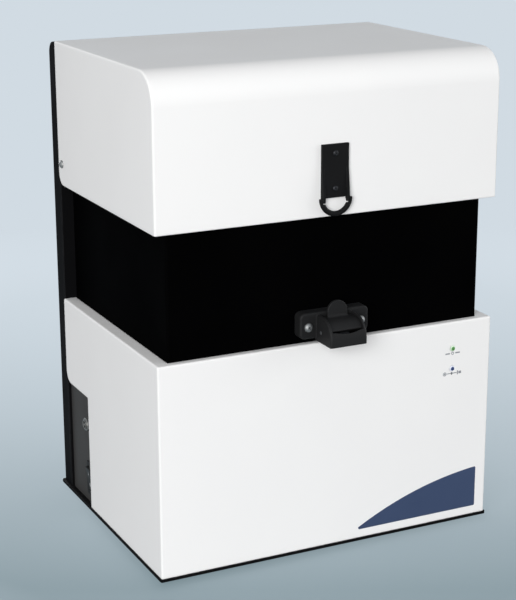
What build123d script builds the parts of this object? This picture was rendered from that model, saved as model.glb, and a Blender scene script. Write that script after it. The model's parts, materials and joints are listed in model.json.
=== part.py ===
from build123d import *
import math
import os

# Haze meter for the bench: white lower casing, white upper cover, and a black sample hood between
# them that slides up. X runs to the right, Y to the back, Z up. The origin is at the middle of the
# part's box, on the surface that it stands on. All sizes are in millimetres.

# How near an edge must lie to a level to be picked
nearby = 0.1

# White covers
cover_width = 301.6
cover_depth = 210.0
cover_sheet = 1.6
cover_edge_radius = 1.5
small_chamfer = 0.5
lower_height = 175.7
window_height = 102.1
upper_height = 120.7
top_bend_radius = 25.0
side_ledge = 11.0
front_ledge = 6.3
ledge_lip = 4.0
cover_flange = 11.0
flange_screw_front = 39.5
flange_screw_inset = 23.7
rear_corner_radius = 10.0
cutout_front = 158.0
cutout_height = 101.0

# Base plate and feet
base_sheet = 2.4
base_lip = 1.0
base_tail = 3.5
base_corner_radius = 1.5
foot_height = 5.0
foot_radius = 11.0
foot_chamfer = 1.0
foot_recess_radius = 4.5
foot_recess_depth = 3.0
foot_inset = 26.0

# Rear box
rear_depth = 17.5
rear_side_step = 1.2
rear_top_step = 1.4
rear_top_radius = 10.0
frame_sheet = 3.0
rear_sheet = 1.5
ear_depth = 15.0
ear_height = 16.0
ear_sheet = 2.0
ear_screw_back = 8.0
ear_screw_rise = 18.2
rear_screw_inset = 14.0
rear_spacer_radius = 4.0
vent_count = 9
vent_pitch = 9.0
vent_width = 3.0
vent_height = 34.0
vent_drop = 62.0

# Side panel with the jack and the rocker switch
panel_recess = 3.6
panel_sheet = 1.5
panel_overlap = 7.0
panel_foot = 12.0
jack_inset = 12.5
jack_rise = 72.5
jack_bush_radius = 4.0
jack_bush_reach = 3.2
jack_bore_radius = 3.15
jack_bore_depth = 9.5
jack_pin_radius = 1.05
jack_body_radius = 6.5
jack_body_depth = 12.0
jack_nut_radius = 5.75
jack_nut_height = 2.4
switch_inset = 8.3
switch_rise = 23.0
switch_bezel_width = 14.0
switch_bezel_height = 30.0
switch_bezel_reach = 1.2
switch_bezel_radius = 1.0
switch_body_width = 12.4
switch_body_height = 26.0
switch_body_depth = 17.0
rocker_width = 9.8
rocker_height = 21.2
rocker_gap = 0.3
rocker_pivot_depth = 1.0
rocker_end_reach = 3.2
rocker_valley_reach = 2.4
rocker_back_reach = 3.0
rocker_pin_radius = 1.2
rocker_swing = 14.0
pocket_spare = 3.0

# Lamps in the front
lamp_inset = 36.9
power_lamp_drop = 23.1
measure_lamp_drop = 40.6
lamp_radius = 2.4
lamp_dome = 1.1
lamp_flange_radius = 3.4
lamp_flange = 1.0
lamp_board_gap = 6.5
lamp_board_width = 16.0
lamp_board_margin = 12.0

# Sample stage and what carries it
stage_drop = 1.0
stage_rise = 3.7
stage_sheet = 3.0
stage_corner_radius = 3.0
stage_side_gap = 0.7
seal_height = 1.2
seal_gap = 0.3
port_radius = 13.0
port_ring_radius = 27.0
port_ring_height = 2.2
port_ring_seat = 1.4
port_ring_bore = 10.0
post_radius = 5.0
post_side_inset = 26.0
post_front_inset = 22.0
post_rear_inset = 24.0
optics_back = 100.0

# Integrating sphere, detector, light trap and white standard
sphere_radius = 60.0
sphere_wall = 5.0
sphere_drop = 4.0
sphere_flange = 7.0
sphere_flange_height = 3.0
neck_radius = 22.0
lower_neck_radius = 19.0
lower_neck_reach = 1.0
detector_drop = 24.0
detector_stand = 6.0
detector_boss = 22.0
detector_bore = 9.0
detector_radius = 15.0
detector_length = 20.0
detector_wall = 2.5
diode_radius = 4.6
diode_height = 4.0
standard_radius = 15.5
standard_height = 4.4
standard_gap = 0.4
carrier_wall = 3.0
arm_height = 3.0
arm_length = 62.0
arm_width = 12.0
arm_hub_radius = 8.0
arm_shaft_radius = 2.5
trap_radius = 18.0
trap_wall = 1.5
trap_cone_radius = 12.6
trap_cone_drop = 11.6
trap_gap = 0.6
motor_radius = 16.0
motor_drop = 10.2
motor_foot_width = 48.0
motor_foot_height = 3.0
motor_shaft_grip = 10.0
shaft_end_gap = 1.0

# Hood, its runners and rails
hood_sheet = 1.5
hood_gap = 0.3
hood_bend_radius = 2.0
hood_rear_gap = 1.0
hood_overlap = 20.0
runner_sheet = 3.0
runner_width = 12.0
runner_bottom = 30.0
runner_top = 8.0
tongue_depth = 4.4
tongue_width = 4.0
rail_width = 10.0
rail_depth = 14.0
rail_gap = 0.5
rail_groove_gap = 0.3
rail_run_out = 20.0

# Upper shelf and the optics on it
shelf_gap = 1.5
shelf_sheet = 3.0
shelf_side_gap = 1.7
shelf_flange = 10.0
shelf_rear_flange = 24.0
shelf_screw_rise = 14.4
shelf_screw_inset = 53.5
barrel_radius = 21.0
barrel_wall = 3.0
barrel_drop = 14.0
barrel_height = 52.0
barrel_flange_radius = 31.0
barrel_flange_height = 4.0
lens_edge = 2.0
lens_crown = 2.2
lens_shoulder = 1.2
aperture_sheet = 1.5
aperture_bore = 3.0
lamp_module_height = 9.0
lamp_chip = 5.0
sink_width = 54.0
sink_base = 5.0
sink_height = 26.0
sink_fin = 2.2
sink_fins = 8

# Boards
board_sheet = 1.6
board_spacer = 6.0
board_spacer_radius = 3.0
board_hole_inset = 5.0
driver_board_inset = 57.5
driver_board_width = 81.0
driver_board_depth = 100.0
main_board_inset = 58.0
main_board_width = 60.0
main_board_depth = 110.0

# Catch on the hood
catch_half_width = 30.6
catch_height = 21.3
catch_rise = 5.3
catch_reach = 3.2
catch_corner_radius = 4.5
catch_edge_radius = 1.6
catch_screw_spread = 23.4
catch_screw_drop = 0.9
nose_reach = 27.3
nose_half_width = 16.3
nose_wall = 2.3
nose_drop = 2.0
nose_floor = 2.2
nose_crown_drop = 2.0
nose_round = 16.5
nose_edge = 1.8
lip_height = 11.6
lip_scoop_radius = 36.0
lip_scoop_depth = 1.7
pin_radius = 1.5
pin_reach = 10.5
pin_rise = 6.5
pin_clearance = 0.06
lever_gap = 0.4
lever_sheet = 2.4
lever_hub_radius = 3.2
lever_fillet = 2.4
pad_recess = 2.3
pad_sweep = 56.3
pad_edge = 0.6
pad_undercut = 2.6
tongue_radius = 8.65
tongue_top = 9.0
nib_half_width = 3.2
nib_height = 2.1
nib_edge = 0.84
nib_depth = 2.4
nib_drop = 2.8
spring_sheet = 0.4
spring_half_width = 4.0
spring_bend = 1.0
spring_drop = 1.1

# Ring plate and hanging ring on the upper cover
plate_half_width = 11.75
plate_height = 42.1
plate_rise = 14.9
plate_sheet = 2.0
plate_screw_inset = 7.2
ring_radius = 12.3
ring_wire = 2.1
ring_reach = 2.9
ring_rise = 14.6
ring_pivot_drop = 1.5
ring_flat_length = 3.1
ring_ear_gap = 0.3
ring_pin_radius = 1.0
ring_pin_root = 0.5
ear_strip = 2.0
ear_tip_radius = 1.9
ear_run = 24.0
ear_foot = 1.0

# Screws
screw_clearance = 0.1
head_rim_share = 0.35
foot_screw = (3.5, 2.2, 2.0)
cover_screw = (2.8, 1.6, 1.5)
side_screw = (3.5, 2.2, 2.0)
bright_screw = (3.75, 2.6, 2.0)
small_screw = (2.4, 1.3, 1.25)
nut_radius = 4.0
nut_height = 3.2

# Levels and planes that follow from the sizes
half_width = cover_width / 2
lamp_x = half_width - lamp_inset
front_y = -(cover_depth + rear_depth + base_tail - nose_reach) / 2
rear_y = front_y + cover_depth
floor_z = foot_height + base_sheet
lower_top_z = floor_z + lower_height
upper_bottom_z = lower_top_z + window_height
upper_top_z = upper_bottom_z + upper_height
opening_half = half_width - side_ledge
opening_front_y = front_y + front_ledge
optics_y = front_y + optics_back

stage_top_z = lower_top_z - stage_drop
rim_top_z = stage_top_z - stage_rise
rim_bottom_z = rim_top_z - stage_sheet

hood_half = opening_half - hood_gap
hood_inner = hood_half - hood_sheet
hood_front_y = opening_front_y + hood_gap
hood_back_y = rear_y - hood_rear_gap
hood_bottom_z = rim_top_z + seal_height + seal_gap
hood_top_z = upper_bottom_z + hood_overlap
runner_bottom_z = hood_bottom_z + runner_bottom
runner_top_z = hood_top_z - runner_top

catch_bottom_z = lower_top_z + catch_rise
catch_top_z = catch_bottom_z + catch_height
catch_front_y = front_y - catch_reach
catch_middle_z = catch_bottom_z + catch_height / 2
catch_screw_z = catch_middle_z - catch_screw_drop
# The hood rises until the catch is just under the upper cover
hood_lift = upper_bottom_z - hood_gap - catch_top_z
nose_bottom_z = catch_bottom_z - nose_drop
nose_top_z = catch_top_z - nose_crown_drop
nose_front_y = front_y - nose_reach
# Centre of the round crown that the cheeks and the thumb pad share
crown_y = nose_front_y + nose_round
crown_z = nose_top_z - nose_round
pin_y = front_y - pin_reach
pin_z = catch_bottom_z + pin_rise

plate_bottom_z = upper_bottom_z + plate_rise
ring_y = front_y - ring_reach
ring_z = upper_bottom_z + ring_rise
ring_pivot_z = ring_z - ring_pivot_drop

shelf_half = hood_inner - shelf_side_gap
shelf_z = upper_bottom_z + shelf_gap
shelf_top_z = shelf_z + shelf_sheet

frame_back_y = rear_y + frame_sheet
rear_back_y = rear_y + rear_depth
rear_half = half_width - rear_side_step
rear_top_z = upper_top_z - rear_top_step


def finish(piece, name):
    """Names the piece and writes it to its own file."""
    piece.part.label = name
    export_step(piece.part, f"parts/{name}.step")


def facing(x, y, z, direction):
    """A plane at a point, whose normal points along the direction."""
    side = (0, 0, 1) if abs(direction[2]) < 0.5 else (1, 0, 0)
    return Plane(origin=(x, y, z), x_dir=side, z_dir=direction)


def pan_screws(planes, size, length):
    """Pan-head screws, each with its head seated on a plane and its shank behind it."""
    head_radius, head_height, shank_radius = size
    rim = head_height * head_rim_share
    with BuildPart() as screws:
        for seat in planes:
            side = Plane(origin=seat.origin, x_dir=seat.x_dir, z_dir=-seat.y_dir)
            with BuildSketch(side):
                with BuildLine():
                    Polyline(
                        (0, head_height), (0, -length), (shank_radius, -length),
                        (shank_radius, 0), (head_radius, 0), (head_radius, rim),
                    )
                    TangentArc((0, head_height), (head_radius, rim), tangent=(1, 0))
                make_face()
            revolve(axis=Axis(seat.origin, seat.z_dir))
    return screws


def corner_spots(x_half, y_front, y_back):
    """Four points at the corners of a rectangle that is centred left to right."""
    return [(x, y) for x in (-x_half, x_half) for y in (y_front, y_back)]


os.makedirs("parts", exist_ok=True)

# Base plate, seen as a thin dark line all round under the covers
base_front_y = front_y - base_lip
base_back_y = rear_back_y + base_tail
foot_spots = corner_spots(half_width - foot_inset, front_y + foot_inset, rear_y - foot_inset)
flange_screw_spots = corner_spots(
    half_width - cover_sheet - cover_flange / 2,
    front_y + flange_screw_front,
    front_y + cutout_front - flange_screw_inset,
)
with BuildPart() as base_plate:
    with BuildSketch(Plane.XY.offset(foot_height)):
        with Locations((0, (base_front_y + base_back_y) / 2)):
            RectangleRounded(
                cover_width + 2 * base_lip, base_back_y - base_front_y, base_corner_radius
            )
        with Locations(*foot_spots):
            Circle(foot_screw[2] + screw_clearance, mode=Mode.SUBTRACT)
        with Locations(*flange_screw_spots):
            Circle(cover_screw[2] + screw_clearance, mode=Mode.SUBTRACT)
    extrude(amount=base_sheet)
finish(base_plate, "base_plate")

# Rubber feet, each with a recess that hides its screw
with BuildPart() as rubber_feet:
    with BuildSketch(Plane.XY):
        with Locations(*foot_spots):
            Circle(foot_radius)
    extrude(amount=foot_height)
    chamfer(rubber_feet.edges().group_by(Axis.Z)[0], foot_chamfer)
    with BuildSketch(Plane.XY):
        with Locations(*foot_spots):
            Circle(foot_recess_radius)
    extrude(amount=foot_recess_depth, mode=Mode.SUBTRACT)
    with BuildSketch(Plane.XY):
        with Locations(*foot_spots):
            Circle(foot_screw[2] + screw_clearance)
    extrude(amount=foot_height, mode=Mode.SUBTRACT)
finish(rubber_feet, "rubber_feet")

foot_screws = pan_screws(
    [facing(x, y, foot_recess_depth, (0, 0, -1)) for x, y in foot_spots],
    foot_screw,
    foot_height - foot_recess_depth + base_sheet,
)
finish(foot_screws, "foot_screws")

# Lower cover: front, two sides, ledges round the opening, flanges on the base plate
power_lamp_z = lower_top_z - power_lamp_drop
measure_lamp_z = lower_top_z - measure_lamp_drop
lamp_spots = [(lamp_x, power_lamp_z), (lamp_x, measure_lamp_z)]
lamp_board_middle_z = (power_lamp_z + measure_lamp_z) / 2
lamp_board_height = power_lamp_z - measure_lamp_z + 2 * lamp_board_margin
stud_spots = [
    (lamp_x, lamp_board_middle_z - lamp_board_height / 2 + board_hole_inset),
    (lamp_x, lamp_board_middle_z + lamp_board_height / 2 - board_hole_inset),
]
inner_half = half_width - cover_sheet
inner_front_y = front_y + cover_sheet
cutout_top_z = floor_z + cutout_height
with BuildPart() as lower_cover:
    with BuildSketch(Plane.XY.offset(floor_z)):
        with Locations((0, front_y + cover_depth / 2)):
            Rectangle(cover_width, cover_depth)
    extrude(amount=lower_height)
    rounded = (
        lower_cover.edges().filter_by(Axis.Z).group_by(Axis.Y)[0]
        + lower_cover.edges().filter_by(Axis.X).group_by(Axis.Z)[-1].group_by(Axis.Y)[0]
        + lower_cover.edges().filter_by(Axis.Y).group_by(Axis.Z)[-1]
    )
    fillet(rounded, cover_edge_radius)
    with BuildSketch(Plane.XY.offset(floor_z)):
        with Locations((0, (inner_front_y + rear_y) / 2)):
            Rectangle(2 * inner_half, rear_y - inner_front_y)
    extrude(amount=lower_height - cover_sheet, mode=Mode.SUBTRACT)
    with BuildSketch(Plane.XY.offset(lower_top_z - ledge_lip)):
        with Locations((0, (inner_front_y + rear_y) / 2)):
            Rectangle(2 * inner_half, rear_y - inner_front_y)
    extrude(amount=ledge_lip - cover_sheet / 2)
    lip_front_y = opening_front_y - cover_sheet
    lip_half = opening_half + cover_sheet
    with BuildSketch(Plane.XY.offset(lower_top_z - ledge_lip)):
        with Locations((0, (inner_front_y + rear_y) / 2)):
            Rectangle(2 * inner_half, rear_y - inner_front_y)
        with Locations((0, (lip_front_y + rear_y) / 2)):
            Rectangle(2 * lip_half, rear_y - lip_front_y, mode=Mode.SUBTRACT)
    extrude(amount=ledge_lip - cover_sheet, mode=Mode.SUBTRACT)
    with BuildSketch(Plane.XY.offset(lower_top_z - ledge_lip)):
        with Locations((0, (opening_front_y + rear_y) / 2)):
            Rectangle(2 * opening_half, rear_y - opening_front_y)
    extrude(amount=ledge_lip, mode=Mode.SUBTRACT)
    with BuildSketch(Plane.XY.offset(floor_z)):
        for side in (-1, 1):
            with Locations((side * (inner_half - cover_flange / 2), front_y + cutout_front / 2)):
                Rectangle(cover_flange, cutout_front - 2 * cover_flange)
        with Locations(*flange_screw_spots):
            Circle(cover_screw[2], mode=Mode.SUBTRACT)
    extrude(amount=cover_sheet)
    with BuildSketch(Plane.XZ.offset(-inner_front_y)):
        with Locations(*stud_spots):
            Circle(board_spacer_radius)
    extrude(amount=-lamp_board_gap)
    with BuildSketch(Plane.XZ.offset(-front_y)):
        with Locations(*lamp_spots):
            Circle(lamp_radius + screw_clearance)
    extrude(amount=-cover_sheet, mode=Mode.SUBTRACT)
    with BuildSketch(Plane.YZ.offset(-half_width)):
        with Locations((front_y + cutout_front, floor_z)):
            Rectangle(
                cover_depth - cutout_front, cutout_height, align=(Align.MIN, Align.MIN)
            )
    extrude(amount=cover_sheet, mode=Mode.SUBTRACT)
    tab_corner = (
        lower_cover.edges().filter_by(Axis.X)
        .filter_by_position(Axis.Z, cutout_top_z - nearby, cutout_top_z + nearby)
        .sort_by(Axis.Y)[-1]
    )
    fillet(tab_corner, rear_corner_radius)
finish(lower_cover, "lower_cover")

lower_cover_screws = pan_screws(
    [facing(x, y, foot_height, (0, 0, -1)) for x, y in flange_screw_spots],
    cover_screw,
    base_sheet + cover_sheet,
)
finish(lower_cover_screws, "lower_cover_screws")

# Upper cover: one long bend over the front, closed sides, ledges that match the lower cover
ear_y = rear_y - ear_screw_back
ear_z = upper_bottom_z + ear_screw_rise
plate_screw_spots = [
    (0, plate_bottom_z + plate_screw_inset),
    (0, plate_bottom_z + plate_height - plate_screw_inset),
]
with BuildPart() as upper_cover:
    with BuildSketch(Plane.YZ.offset(-half_width)) as bend_profile:
        with Locations((front_y, upper_bottom_z)):
            Rectangle(cover_depth, upper_height, align=(Align.MIN, Align.MIN))
        fillet(
            bend_profile.vertices().group_by(Axis.X)[0].sort_by(Axis.Y)[-1], top_bend_radius
        )
    extrude(amount=cover_width)
    side_edges = [
        edge
        for group in (
            upper_cover.edges().group_by(Axis.X)[0], upper_cover.edges().group_by(Axis.X)[-1]
        )
        for edge in group
        if edge.center().Z > upper_bottom_z + nearby and edge.center().Y < rear_y - nearby
    ]
    fillet(side_edges, cover_edge_radius)
    with BuildSketch(Plane.YZ.offset(-inner_half)) as inner_profile:
        with Locations((inner_front_y, upper_bottom_z + cover_sheet)):
            Rectangle(
                cover_depth - cover_sheet, upper_height - 2 * cover_sheet,
                align=(Align.MIN, Align.MIN),
            )
        fillet(
            inner_profile.vertices().group_by(Axis.X)[0].sort_by(Axis.Y)[-1],
            top_bend_radius - cover_sheet,
        )
    extrude(amount=2 * inner_half, mode=Mode.SUBTRACT)
    with BuildSketch(Plane.XY.offset(upper_bottom_z)):
        with Locations((0, (opening_front_y + rear_y) / 2)):
            Rectangle(2 * opening_half, rear_y - opening_front_y)
        with Locations((0, rear_y - rear_corner_radius)):
            Rectangle(2 * inner_half, 2 * rear_corner_radius + 2 * cover_sheet)
    extrude(amount=cover_sheet, mode=Mode.SUBTRACT)
    with BuildSketch(Plane.YZ.offset(-half_width)):
        with Locations((ear_y, ear_z)):
            Circle(side_screw[2] + screw_clearance)
    extrude(amount=cover_width, mode=Mode.SUBTRACT)
    with BuildSketch(Plane.XZ.offset(-inner_front_y)):
        with Locations(*plate_screw_spots):
            Circle(2 * small_screw[2])
    extrude(amount=-cover_sheet)
    with BuildSketch(Plane.XZ.offset(-front_y)):
        with Locations(*plate_screw_spots):
            Circle(small_screw[2] + screw_clearance)
    extrude(amount=-2 * cover_sheet, mode=Mode.SUBTRACT)
    for side in (0, -1):
        corner = (
            upper_cover.edges().filter_by(Axis.X)
            .filter_by_position(Axis.Z, upper_bottom_z - nearby, upper_bottom_z + nearby)
            .group_by(Axis.Y)[-1].sort_by(Axis.X)[side]
        )
        fillet(corner, rear_corner_radius)
finish(upper_cover, "upper_cover")

upper_cover_screws = pan_screws(
    [facing(side * half_width, ear_y, ear_z, (side, 0, 0)) for side in (-1, 1)],
    side_screw,
    cover_sheet + ear_sheet,
)
finish(upper_cover_screws, "upper_cover_screws")

# Rear frame: the upright plate that carries everything above the stage
spacer_spots = corner_spots(
    rear_half - rear_screw_inset, floor_z + rear_screw_inset, rear_top_z - 2 * rear_screw_inset
)
shelf_screw_z = shelf_top_z + shelf_screw_rise
shelf_screw_spots = [
    (side * (shelf_half - shelf_screw_inset), shelf_screw_z) for side in (-1, 1)
]
rail_top_z = runner_top_z + hood_lift + rail_run_out
rail_x = hood_inner - runner_sheet - rail_gap - rail_width / 2
with BuildPart() as rear_frame:
    with BuildSketch(Plane.XZ.offset(-rear_y)):
        with Locations((0, (floor_z + rear_top_z) / 2)):
            Rectangle(2 * rear_half, rear_top_z - floor_z)
        with Locations(*spacer_spots):
            Circle(cover_screw[2], mode=Mode.SUBTRACT)
        with Locations(*shelf_screw_spots):
            Circle(side_screw[2], mode=Mode.SUBTRACT)
    extrude(amount=-frame_sheet)
    for side in (-1, 1):
        ear_x = side * (inner_half - ear_sheet / 2)
        with BuildSketch(Plane.YZ.offset(ear_x - ear_sheet / 2)):
            with Locations((rear_y, ear_z)):
                Rectangle(ear_depth, ear_height, align=(Align.MAX, Align.CENTER))
            with Locations((ear_y, ear_z)):
                Circle(side_screw[2], mode=Mode.SUBTRACT)
        extrude(amount=ear_sheet)
finish(rear_frame, "rear_frame")

# Rear cover: a shallow tray with a rounded top edge, air slots behind the lamp's heat sink
vent_z = rear_top_z - vent_drop
with BuildPart() as rear_cover:
    with BuildSketch(Plane.YZ.offset(-rear_half)) as rear_profile:
        with Locations((frame_back_y, floor_z)):
            Rectangle(
                rear_depth - frame_sheet, rear_top_z - floor_z, align=(Align.MIN, Align.MIN)
            )
        fillet(
            rear_profile.vertices().group_by(Axis.X)[-1].sort_by(Axis.Y)[-1], rear_top_radius
        )
    extrude(amount=2 * rear_half)
    offset(amount=-rear_sheet, openings=rear_cover.faces().sort_by(Axis.Y)[0])
    with BuildSketch(Plane.XZ.offset(-rear_back_y)):
        with Locations(*spacer_spots):
            Circle(cover_screw[2] + screw_clearance)
        with Locations((0, vent_z)):
            with GridLocations(vent_pitch, 0, vent_count, 1):
                SlotOverall(vent_height, vent_width, rotation=90)
    extrude(amount=rear_sheet, mode=Mode.SUBTRACT)
finish(rear_cover, "rear_cover")

with BuildPart() as rear_spacers:
    with BuildSketch(Plane.XZ.offset(-frame_back_y)):
        with Locations(*spacer_spots):
            Circle(rear_spacer_radius)
        with Locations(*spacer_spots):
            Circle(cover_screw[2], mode=Mode.SUBTRACT)
    extrude(amount=-(rear_depth - frame_sheet - rear_sheet))
finish(rear_spacers, "rear_spacers")

rear_cover_screws = pan_screws(
    [facing(x, rear_back_y, z, (0, 1, 0)) for x, z in spacer_spots],
    cover_screw,
    rear_depth,
)
finish(rear_cover_screws, "rear_cover_screws")

# Side panel: grey, set back in the cut-out, with a foot on the base plate
panel_x = -half_width + panel_recess
jack_y = front_y + cutout_front + jack_inset
jack_z = floor_z + jack_rise
switch_y = front_y + cutout_front + switch_inset
switch_z = floor_z + switch_rise
panel_height = cutout_height + panel_overlap
panel_front_y = front_y + cutout_front - panel_overlap
with BuildPart() as side_panel:
    with BuildSketch(Plane.YZ.offset(panel_x)):
        with Locations((panel_front_y, floor_z)):
            Rectangle(rear_y - panel_front_y, panel_height, align=(Align.MIN, Align.MIN))
        with Locations((jack_y, jack_z)):
            Circle(jack_bush_radius + screw_clearance, mode=Mode.SUBTRACT)
        with Locations((switch_y, switch_z)):
            Rectangle(switch_body_width, switch_body_height, mode=Mode.SUBTRACT)
    extrude(amount=panel_sheet)
    with BuildSketch(Plane.XY.offset(floor_z)):
        with Locations((panel_x, panel_front_y)):
            Rectangle(panel_foot, rear_y - panel_front_y, align=(Align.MIN, Align.MIN))
    extrude(amount=panel_sheet)
finish(side_panel, "side_panel")

# Power jack: a threaded bush through the panel, held by a nut, with the contact pin in its bore
with BuildPart() as power_jack:
    with BuildSketch(Plane.YZ.offset(panel_x - jack_bush_reach)):
        with Locations((jack_y, jack_z)):
            Circle(jack_bush_radius)
    extrude(amount=jack_bush_reach + panel_sheet)
    with BuildSketch(Plane.YZ.offset(panel_x + panel_sheet)):
        with Locations((jack_y, jack_z)):
            Circle(jack_body_radius)
    extrude(amount=jack_body_depth)
    with BuildSketch(Plane.YZ.offset(panel_x - jack_bush_reach)):
        with Locations((jack_y, jack_z)):
            Circle(jack_bore_radius)
            Circle(jack_pin_radius, mode=Mode.SUBTRACT)
    extrude(amount=jack_bore_depth, mode=Mode.SUBTRACT)
finish(power_jack, "power_jack")

with BuildPart() as jack_nut:
    with BuildSketch(Plane.YZ.offset(panel_x)):
        with Locations((jack_y, jack_z)):
            Circle(jack_nut_radius)
            Circle(jack_bush_radius, mode=Mode.SUBTRACT)
    extrude(amount=-jack_nut_height)
    chamfer(jack_nut.edges().group_by(Axis.X)[0].sort_by(SortBy.LENGTH)[-1], small_chamfer)
finish(jack_nut, "jack_nut")

# Power switch: the body snaps into the panel, the rocker tips on two stub pins in its sides
rocker_x = panel_x + rocker_pivot_depth
pocket_half_height = math.hypot(rocker_height / 2, rocker_end_reach) + rocker_gap
pocket_depth = switch_bezel_reach + rocker_pivot_depth + rocker_back_reach + pocket_spare
with BuildPart() as power_switch_body:
    with BuildSketch(Plane.YZ.offset(panel_x - switch_bezel_reach)):
        with Locations((switch_y, switch_z)):
            RectangleRounded(switch_bezel_width, switch_bezel_height, switch_bezel_radius)
    extrude(amount=switch_bezel_reach)
    with BuildSketch(Plane.YZ.offset(panel_x)):
        with Locations((switch_y, switch_z)):
            Rectangle(switch_body_width, switch_body_height)
    extrude(amount=switch_body_depth)
    with BuildSketch(Plane.YZ.offset(panel_x - switch_bezel_reach)):
        with Locations((switch_y, switch_z)):
            Rectangle(rocker_width + 2 * rocker_gap, 2 * pocket_half_height)
    extrude(amount=pocket_depth, mode=Mode.SUBTRACT)
    with BuildSketch(Plane.XZ.offset(-switch_y)):
        with Locations((rocker_x, switch_z)):
            Circle(rocker_pin_radius + pin_clearance)
    extrude(amount=switch_body_width / 2, both=True, mode=Mode.SUBTRACT)
finish(power_switch_body, "power_switch_body")

rocker_lean = math.radians(rocker_swing / 2)
with BuildPart() as power_switch_rocker:
    rest_plane = Plane(
        origin=(rocker_x, switch_y, switch_z),
        x_dir=(math.cos(rocker_lean), 0, math.sin(rocker_lean)),
        z_dir=(0, -1, 0),
    )
    with BuildSketch(rest_plane) as rocker_profile:
        with BuildLine():
            Polyline(
                (-rocker_valley_reach, 0),
                (-rocker_end_reach, rocker_height / 2),
                (0, rocker_height / 2),
                (rocker_back_reach, rocker_height / 3),
                (rocker_back_reach, -rocker_height / 3),
                (0, -rocker_height / 2),
                (-rocker_end_reach, -rocker_height / 2),
                close=True,
            )
        make_face()
    extrude(amount=rocker_width / 2, both=True)
    with BuildSketch(rest_plane):
        Circle(rocker_pin_radius)
    extrude(amount=switch_body_width / 2 - rocker_gap / 3, both=True)
finish(power_switch_rocker, "power_switch_rocker")


def lamp_lens(z):
    """A domed lamp lens in the front of the lower cover, with a flange behind the sheet."""
    with BuildPart() as lens:
        with BuildSketch(Plane(origin=(lamp_x, front_y, z), x_dir=(1, 0, 0), z_dir=(0, 0, -1))):
            with BuildLine():
                Polyline(
                    (0, -cover_sheet - lamp_flange),
                    (lamp_flange_radius, -cover_sheet - lamp_flange),
                    (lamp_flange_radius, -cover_sheet),
                    (lamp_radius, -cover_sheet),
                    (lamp_radius, 0),
                )
                TangentArc((0, lamp_dome), (lamp_radius, 0), tangent=(1, 0))
                Line((0, lamp_dome), (0, -cover_sheet - lamp_flange))
            make_face()
        revolve(axis=Axis((lamp_x, front_y, z), (0, -1, 0)))
    return lens


power_lamp_lens = lamp_lens(power_lamp_z)
finish(power_lamp_lens, "power_lamp_lens")
measure_lamp_lens = lamp_lens(measure_lamp_z)
finish(measure_lamp_lens, "measure_lamp_lens")

# Lamp board: on the studs behind the lenses, one small lamp body behind each lens
lamp_board_y = inner_front_y + lamp_board_gap
with BuildPart() as lamp_board:
    with BuildSketch(Plane.XZ.offset(-lamp_board_y)):
        with Locations((lamp_x, lamp_board_middle_z)):
            Rectangle(lamp_board_width, lamp_board_height)
    extrude(amount=-board_sheet)
    with BuildSketch(Plane.XZ.offset(-lamp_board_y)):
        with Locations(*lamp_spots):
            Circle(lamp_radius)
    extrude(amount=lamp_board_gap - lamp_flange)
finish(lamp_board, "lamp_board")

# Sample stage: a raised plate with a rim under the hood's edge, and the port in its middle
stage_half = hood_inner - stage_side_gap
stage_front_y = hood_front_y + hood_sheet + stage_side_gap
stage_back_y = rear_y - stage_side_gap
rim_half = hood_half + ledge_lip / 2
rim_front_y = hood_front_y - ledge_lip / 2
post_spots = corner_spots(
    half_width - post_side_inset, front_y + post_front_inset, rear_y - post_rear_inset
)
with BuildPart() as sample_stage:
    with BuildSketch(Plane.XY.offset(rim_bottom_z)):
        with Locations((0, (rim_front_y + stage_back_y) / 2)):
            Rectangle(2 * rim_half, stage_back_y - rim_front_y)
    extrude(amount=stage_sheet)
    with BuildSketch(Plane.XY.offset(rim_top_z)):
        with Locations((0, (stage_front_y + stage_back_y) / 2)):
            RectangleRounded(2 * stage_half, stage_back_y - stage_front_y, stage_corner_radius)
    extrude(amount=stage_rise)
    chamfer(sample_stage.edges().group_by(Axis.Z)[-1], small_chamfer)
    with BuildSketch(Plane.XY.offset(rim_bottom_z)):
        with Locations((0, optics_y)):
            Circle(port_radius)
        with Locations(*post_spots):
            Circle(side_screw[2] + screw_clearance)
    extrude(amount=stage_sheet + stage_rise, mode=Mode.SUBTRACT)
    with BuildSketch(Plane.XY.offset(stage_top_z)):
        with Locations((0, optics_y)):
            Circle(port_ring_radius)
    extrude(amount=-port_ring_seat, mode=Mode.SUBTRACT)
finish(sample_stage, "sample_stage")

with BuildPart() as port_ring:
    with BuildSketch(Plane.XY.offset(stage_top_z - port_ring_seat)):
        with Locations((0, optics_y)):
            Circle(port_ring_radius - screw_clearance)
            Circle(port_ring_bore, mode=Mode.SUBTRACT)
    extrude(amount=port_ring_height)
    chamfer(port_ring.edges().group_by(Axis.Z)[-1], small_chamfer)
finish(port_ring, "port_ring")

with BuildPart() as stage_seal:
    with BuildSketch(Plane.XY.offset(rim_top_z)):
        with Locations((0, (hood_front_y + stage_back_y) / 2)):
            Rectangle(2 * hood_half, stage_back_y - hood_front_y)
        with Locations((0, (stage_front_y + stage_back_y) / 2)):
            Rectangle(2 * stage_half, stage_back_y - stage_front_y, mode=Mode.SUBTRACT)
    extrude(amount=seal_height)
finish(stage_seal, "stage_seal")

with BuildPart() as stage_posts:
    with BuildSketch(Plane.XY.offset(floor_z)):
        with Locations(*post_spots):
            RegularPolygon(post_radius, 6)
        with Locations(*post_spots):
            Circle(side_screw[2], mode=Mode.SUBTRACT)
    extrude(amount=rim_bottom_z - floor_z)
finish(stage_posts, "stage_posts")

stage_screws = pan_screws(
    [facing(x, y, stage_top_z, (0, 0, 1)) for x, y in post_spots],
    side_screw,
    stage_sheet + stage_rise + 2 * post_radius,
)
finish(stage_screws, "stage_screws")

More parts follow.
